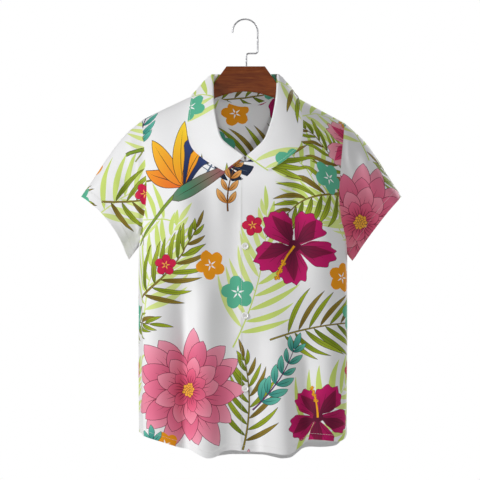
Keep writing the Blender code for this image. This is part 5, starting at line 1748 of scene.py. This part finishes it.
def button(node):
    """Four-hole button with a raised rim, where its solid is.

    Gives the stitches of its thread and of its buttonhole.
    """
    low, high = (np.array(corner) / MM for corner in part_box(node))
    centre = (low + high) / 2
    thick = high[1] - low[1]
    holes = [np.array((a, b)) * BUTTON_HOLE_AT for a, b in ((1, 1), (-1, 1), (-1, -1), (1, -1))]
    hole_points, ring_points, rim_points = BUTTON_POINTS
    loops = [disc(BUTTON_HOLE, at, hole_points) for at in holes]
    loops += [disc(radius, count=ring_points) for radius in BUTTON_RINGS]
    border = disc(BUTTON_RADIUS, count=rim_points)
    spots, faces = triangulate(border, [closed(line) for line in loops], BUTTON_STEP)
    middle = spots[faces].mean(axis=1)
    faces = faces[np.all([np.linalg.norm(middle - at, axis=1) > BUTTON_HOLE * 0.97 for at in holes], axis=0)]
    radius = np.linalg.norm(spots, axis=1)
    x, z = (spots + centre[::2]).T
    outer, inner = (np.stack([x, high[1] - thick * np.interp(radius, *rise), z], axis=1)
                    for rise in (BUTTON_FACE, BUTTON_BACK))
    rim = np.concatenate([rim_quads(loop, loop + len(spots)) for loop in rim_loops(faces)])
    name = node.replace("shirt_", "")
    mesh, _ = shell_mesh(name, outer, inner, faces, faces[:, ::-1], rim)
    mesh.set_sharp_from_angle(angle=math.radians(BUTTON_SHARP))
    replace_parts(place(name, mesh, "button"), node)
    runs = []
    for (a, b), lift in zip(((0, 2), (1, 3)), BUTTON_THREAD_LIFTS):
        run = np.linalg.norm(holes[b] - holes[a])
        x, z = (holes[b] - holes[a]) / run
        y = high[1] - thick * BUTTON_FACE[1][0] - lift
        for shift in BUTTON_THREADS:
            spot = np.array([[centre[0] - z * shift, y, centre[2] + x * shift]])
            runs.append((spot, np.array([[x, 0, z]]), np.array([[0, -1.0, 0]]),
                         run + 2 * BUTTON_THREAD_RADIUS, BUTTON_THREAD_RADIUS))
    return runs + [buttonhole(centre[0], high[1] + HOLE_LIFT, centre[2])]


def hook():
    """The wire, swept along its centre line."""
    curve = bpy.data.curves.new("hook_wire", "CURVE")
    curve.dimensions = "3D"
    curve.bevel_depth = WIRE_RADIUS * MM
    curve.bevel_resolution = 6
    curve.use_fill_caps = True
    points = hook_points()
    line = curve.splines.new("POLY")
    line.points.add(len(points) - 1)
    for point, (x, z) in zip(line.points, points):
        point.co = (x * MM, 0, z * MM, 1)
    line.use_smooth = True
    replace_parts(place("hook_wire", curve, "hook"), "hanger_hook")


# ---------------------------------------------------------------- materials
class Look:
    """A Principled material, and functions that add nodes to it and link them."""

    def __init__(self, name, **sockets):
        MATERIALS[name] = bpy.data.materials.new(name)
        MATERIALS[name].use_nodes = True
        self.tree = MATERIALS[name].node_tree
        self.shader = self.tree.nodes["Principled BSDF"]
        for socket, value in sockets.items():
            self.shader.inputs[socket.replace("_", " ")].default_value = value

    def feed(self, socket, source, output):
        """Links a node's output to the shader."""
        self.tree.links.new(source.outputs[output], self.shader.inputs[socket])

    def add(self, kind, values=(), links=(), **settings):
        """A node with its values, its incoming links {socket: (node, output)} and its settings."""
        node = self.tree.nodes.new("ShaderNode" + kind)
        for key, value in settings.items():
            setattr(node, key, value)
        for key, value in dict(values).items():
            node.inputs[key].default_value = value
        for key, (source, output) in dict(links).items():
            self.tree.links.new(source.outputs[output], node.inputs[key])
        return node

    def noise(self, source, output, scale, detail, **more):
        """A noise of some scale over a node's coordinates."""
        values = {"Scale": scale, "Detail": detail, **more}
        return self.add("TexNoise", values, {"Vector": (source, output)})

    def spread(self, source, output, reads, gives):
        """A value moved from one range to another."""
        ends = dict(zip(("From Min", "From Max", "To Min", "To Max"), (*reads, *gives)))
        return self.add("MapRange", ends, {"Value": (source, output)})

    def product(self, first, first_output, second, second_output):
        """A colour times a value."""
        links = {6: (first, first_output), 7: (second, second_output)}
        return self.add("Mix", {"Factor": 1.0}, links, data_type="RGBA", blend_type="MULTIPLY")

    def ramp(self, source, stops):
        """Colours over a noise's value, at (place, colour) stops."""
        node = self.add("ValToRGB", links={"Fac": (source, "Fac")})
        for k, (at, code) in enumerate(stops):
            stop = node.color_ramp.elements[k] if k < 2 else node.color_ramp.elements.new(at)
            stop.position = at
            stop.color = (*colour_of(code), 1)
        return node


def cloth_material():
    """The print's colours over a plain weave."""
    look = Look("cloth", Sheen_Weight=0.1, Sheen_Roughness=0.4, Specular_IOR_Level=0.22)
    cut = look.add("UVMap", uv_map="Cut")
    warp, weft = (look.add("TexWave", {"Scale": 560.0, "Distortion": 0.6}, {"Vector": (cut, "UV")},
                           bands_direction=way) for way in "XY")
    weave = look.add("Math", links={0: (warp, "Fac"), 1: (weft, "Fac")}, operation="MAXIMUM")
    fade = look.spread(weave, "Value", (0.0, 1.0), (0.94, 1.03))
    ink = look.add("Attribute", attribute_name="print")
    look.feed("Base Color", look.product(ink, "Color", fade, "Result"), 2)
    slub = look.noise(cut, "UV", 900.0, 2.0)
    look.feed("Roughness", look.spread(slub, "Fac", (0.0, 1.0), (0.58, 0.76)), "Result")
    bump = look.add("Bump", {"Strength": 0.25, "Distance": 0.00012}, {"Height": (weave, "Value")})
    look.feed("Normal", bump, "Normal")


def wood_material():
    """Brown wood with its grain along the hanger, darker rings and pores."""
    look = Look("wood", Coat_Weight=0.03, Coat_Roughness=0.3, Specular_IOR_Level=0.13)
    turn = {"Scale": (1.0, 9.0, 9.0), "Rotation": (0.0, 0.12, 0.0)}
    stretch = look.add("Mapping", turn, {"Vector": (look.add("TexCoord"), "Object")})
    grain = look.noise(stretch, "Vector", 20.0, 8.0, Roughness=0.6, Distortion=1.1)
    rings = look.noise(stretch, "Vector", 7.0, 2.0, Distortion=0.5)
    pores = look.noise(stretch, "Vector", 170.0, 3.0)
    tone = look.ramp(grain, ((0.26, "#501D03"), (0.8, "#954F16"), (0.44, "#6D3009"), (0.6, "#7D3B0C")))
    broad = look.spread(rings, "Fac", (0.35, 0.65), (0.8, 1.12))
    dots = look.spread(pores, "Fac", (0.36, 0.6), (0.84, 1.03))
    both = look.add("Math", links={0: (broad, "Result"), 1: (dots, "Result")}, operation="MULTIPLY")
    look.feed("Base Color", look.product(tone, "Color", both, "Value"), 2)
    look.feed("Roughness", look.spread(grain, "Fac", (0.3, 0.7), (0.58, 0.42)), "Result")
    bump = look.add("Bump", {"Strength": 0.3, "Distance": 0.0003}, {"Height": (grain, "Fac")})
    look.feed("Normal", bump, "Normal")


def speckled(name, scale, detail, stops, **sockets):
    """A material with a fine noise between two tones. Gives it and its noise."""
    look = Look(name, **sockets)
    noise = look.noise(look.add("TexCoord"), "Object", scale, detail)
    look.feed("Base Color", look.ramp(noise, stops), "Color")
    return look, noise


def small_materials():
    """Buttons, thread, hook and floor."""
    speckled("button", 240.0, 3.0, ((0.35, "#FAF9F7"), (0.68, "#FFFFFF")),
             Roughness=0.34, Coat_Weight=0.8, Coat_Roughness=0.3, Specular_IOR_Level=1.0)
    speckled("thread", 2500.0, 1.0, ((0.3, "#DAD9D4"), (0.7, "#F7F6F2")), Roughness=0.8)
    speckled("floor", 3.0, 2.0, ((0.3, "#E6E6E5"), (0.7, "#EBEBEA")), Roughness=0.9)
    look, wear = speckled("hook", 120.0, 4.0, ((0.3, "#A4A4A8"), (0.7, "#CACACE")), Metallic=1.0)
    look.feed("Roughness", look.spread(wear, "Fac", (0.3, 0.7), (0.34, 0.46)), "Result")


# ---------------------------------------------------------------- stage
def add_lamp(name, kind, spot, aim, power):
    """A lamp at a spot that points at its aim."""
    lamp = bpy.data.lights.new(name, kind)
    lamp.energy = power
    holder = bpy.data.objects.new(name, lamp)
    holder.location = spot
    holder.rotation_euler = (Vector(aim) - Vector(spot)).to_track_quat("-Z", "Y").to_euler()
    bpy.context.scene.collection.objects.link(holder)
    return lamp


def stage():
    """Floor, lamps, a white background that lights little, and the camera."""
    scene = bpy.context.scene
    bpy.ops.mesh.primitive_circle_add(
        vertices=96, radius=FLOOR_RADIUS, fill_type="NGON", location=(0, 0, FLOOR_Z * MM))
    floor = bpy.context.active_object
    floor.name = "floor"
    floor.data.materials.append(MATERIALS["floor"])
    for name, spot, size, power in LAMPS:
        lamp = add_lamp(name, "AREA", spot, AIM, power)
        lamp.shape, lamp.size = "DISK", size
    spot, aim, cone, blend, radius, power = NECK_LAMP
    lamp = add_lamp("neck", "SPOT", spot, aim, power)
    lamp.spot_size, lamp.spot_blend, lamp.shadow_soft_size = math.radians(cone), blend, radius
    world = bpy.data.worlds.new("studio")
    world.use_nodes = True
    scene.world = world
    tree = world.node_tree
    light, seen = tree.nodes["Background"], tree.nodes.new("ShaderNodeBackground")
    for node in (light, seen):
        node.inputs["Color"].default_value = (1, 1, 1, 1)
    light.inputs["Strength"].default_value = WORLD_LIGHT
    mix, path = tree.nodes.new("ShaderNodeMixShader"), tree.nodes.new("ShaderNodeLightPath")
    tree.links.new(path.outputs["Is Camera Ray"], mix.inputs[0])
    tree.links.new(light.outputs[0], mix.inputs[1])
    tree.links.new(seen.outputs[0], mix.inputs[2])
    tree.links.new(mix.outputs[0], tree.nodes["World Output"].inputs["Surface"])
    scene.view_settings.view_transform = "Standard"
    camera = bpy.data.objects.new("camera", bpy.data.cameras.new("camera"))
    camera.data.type = "ORTHO"
    camera.data.ortho_scale = VIEW_WIDE
    camera.location = (VIEW_CENTRE[0] * MM, -VIEW_BACK, VIEW_CENTRE[1] * MM)
    camera.rotation_euler = (math.pi / 2, 0, 0)
    scene.collection.objects.link(camera)
    scene.camera = camera


def main():
    """Materials, stage, and every piece of the part."""
    cloth_material()
    wood_material()
    small_materials()
    stage()
    pieces = cloth_grids()
    for name, piece in pieces.items():
        lay_flat(name, piece)
        cloth = cloth_shell(name, piece, SHIFTS[name])
        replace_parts(cloth, "shirt_" + name)
    runs = seam_stitches(pieces)
    for node in ("shirt_button_upper", "shirt_button_middle", "shirt_button_lower"):
        runs += button(node)
    place("stitching", thread_mesh("stitching", runs), "thread")
    hook()
    wood = frame["nodes"]["hanger_wood"]
    wood.material_slots[0].link = "OBJECT"
    wood.material_slots[0].material = MATERIALS["wood"]


main()
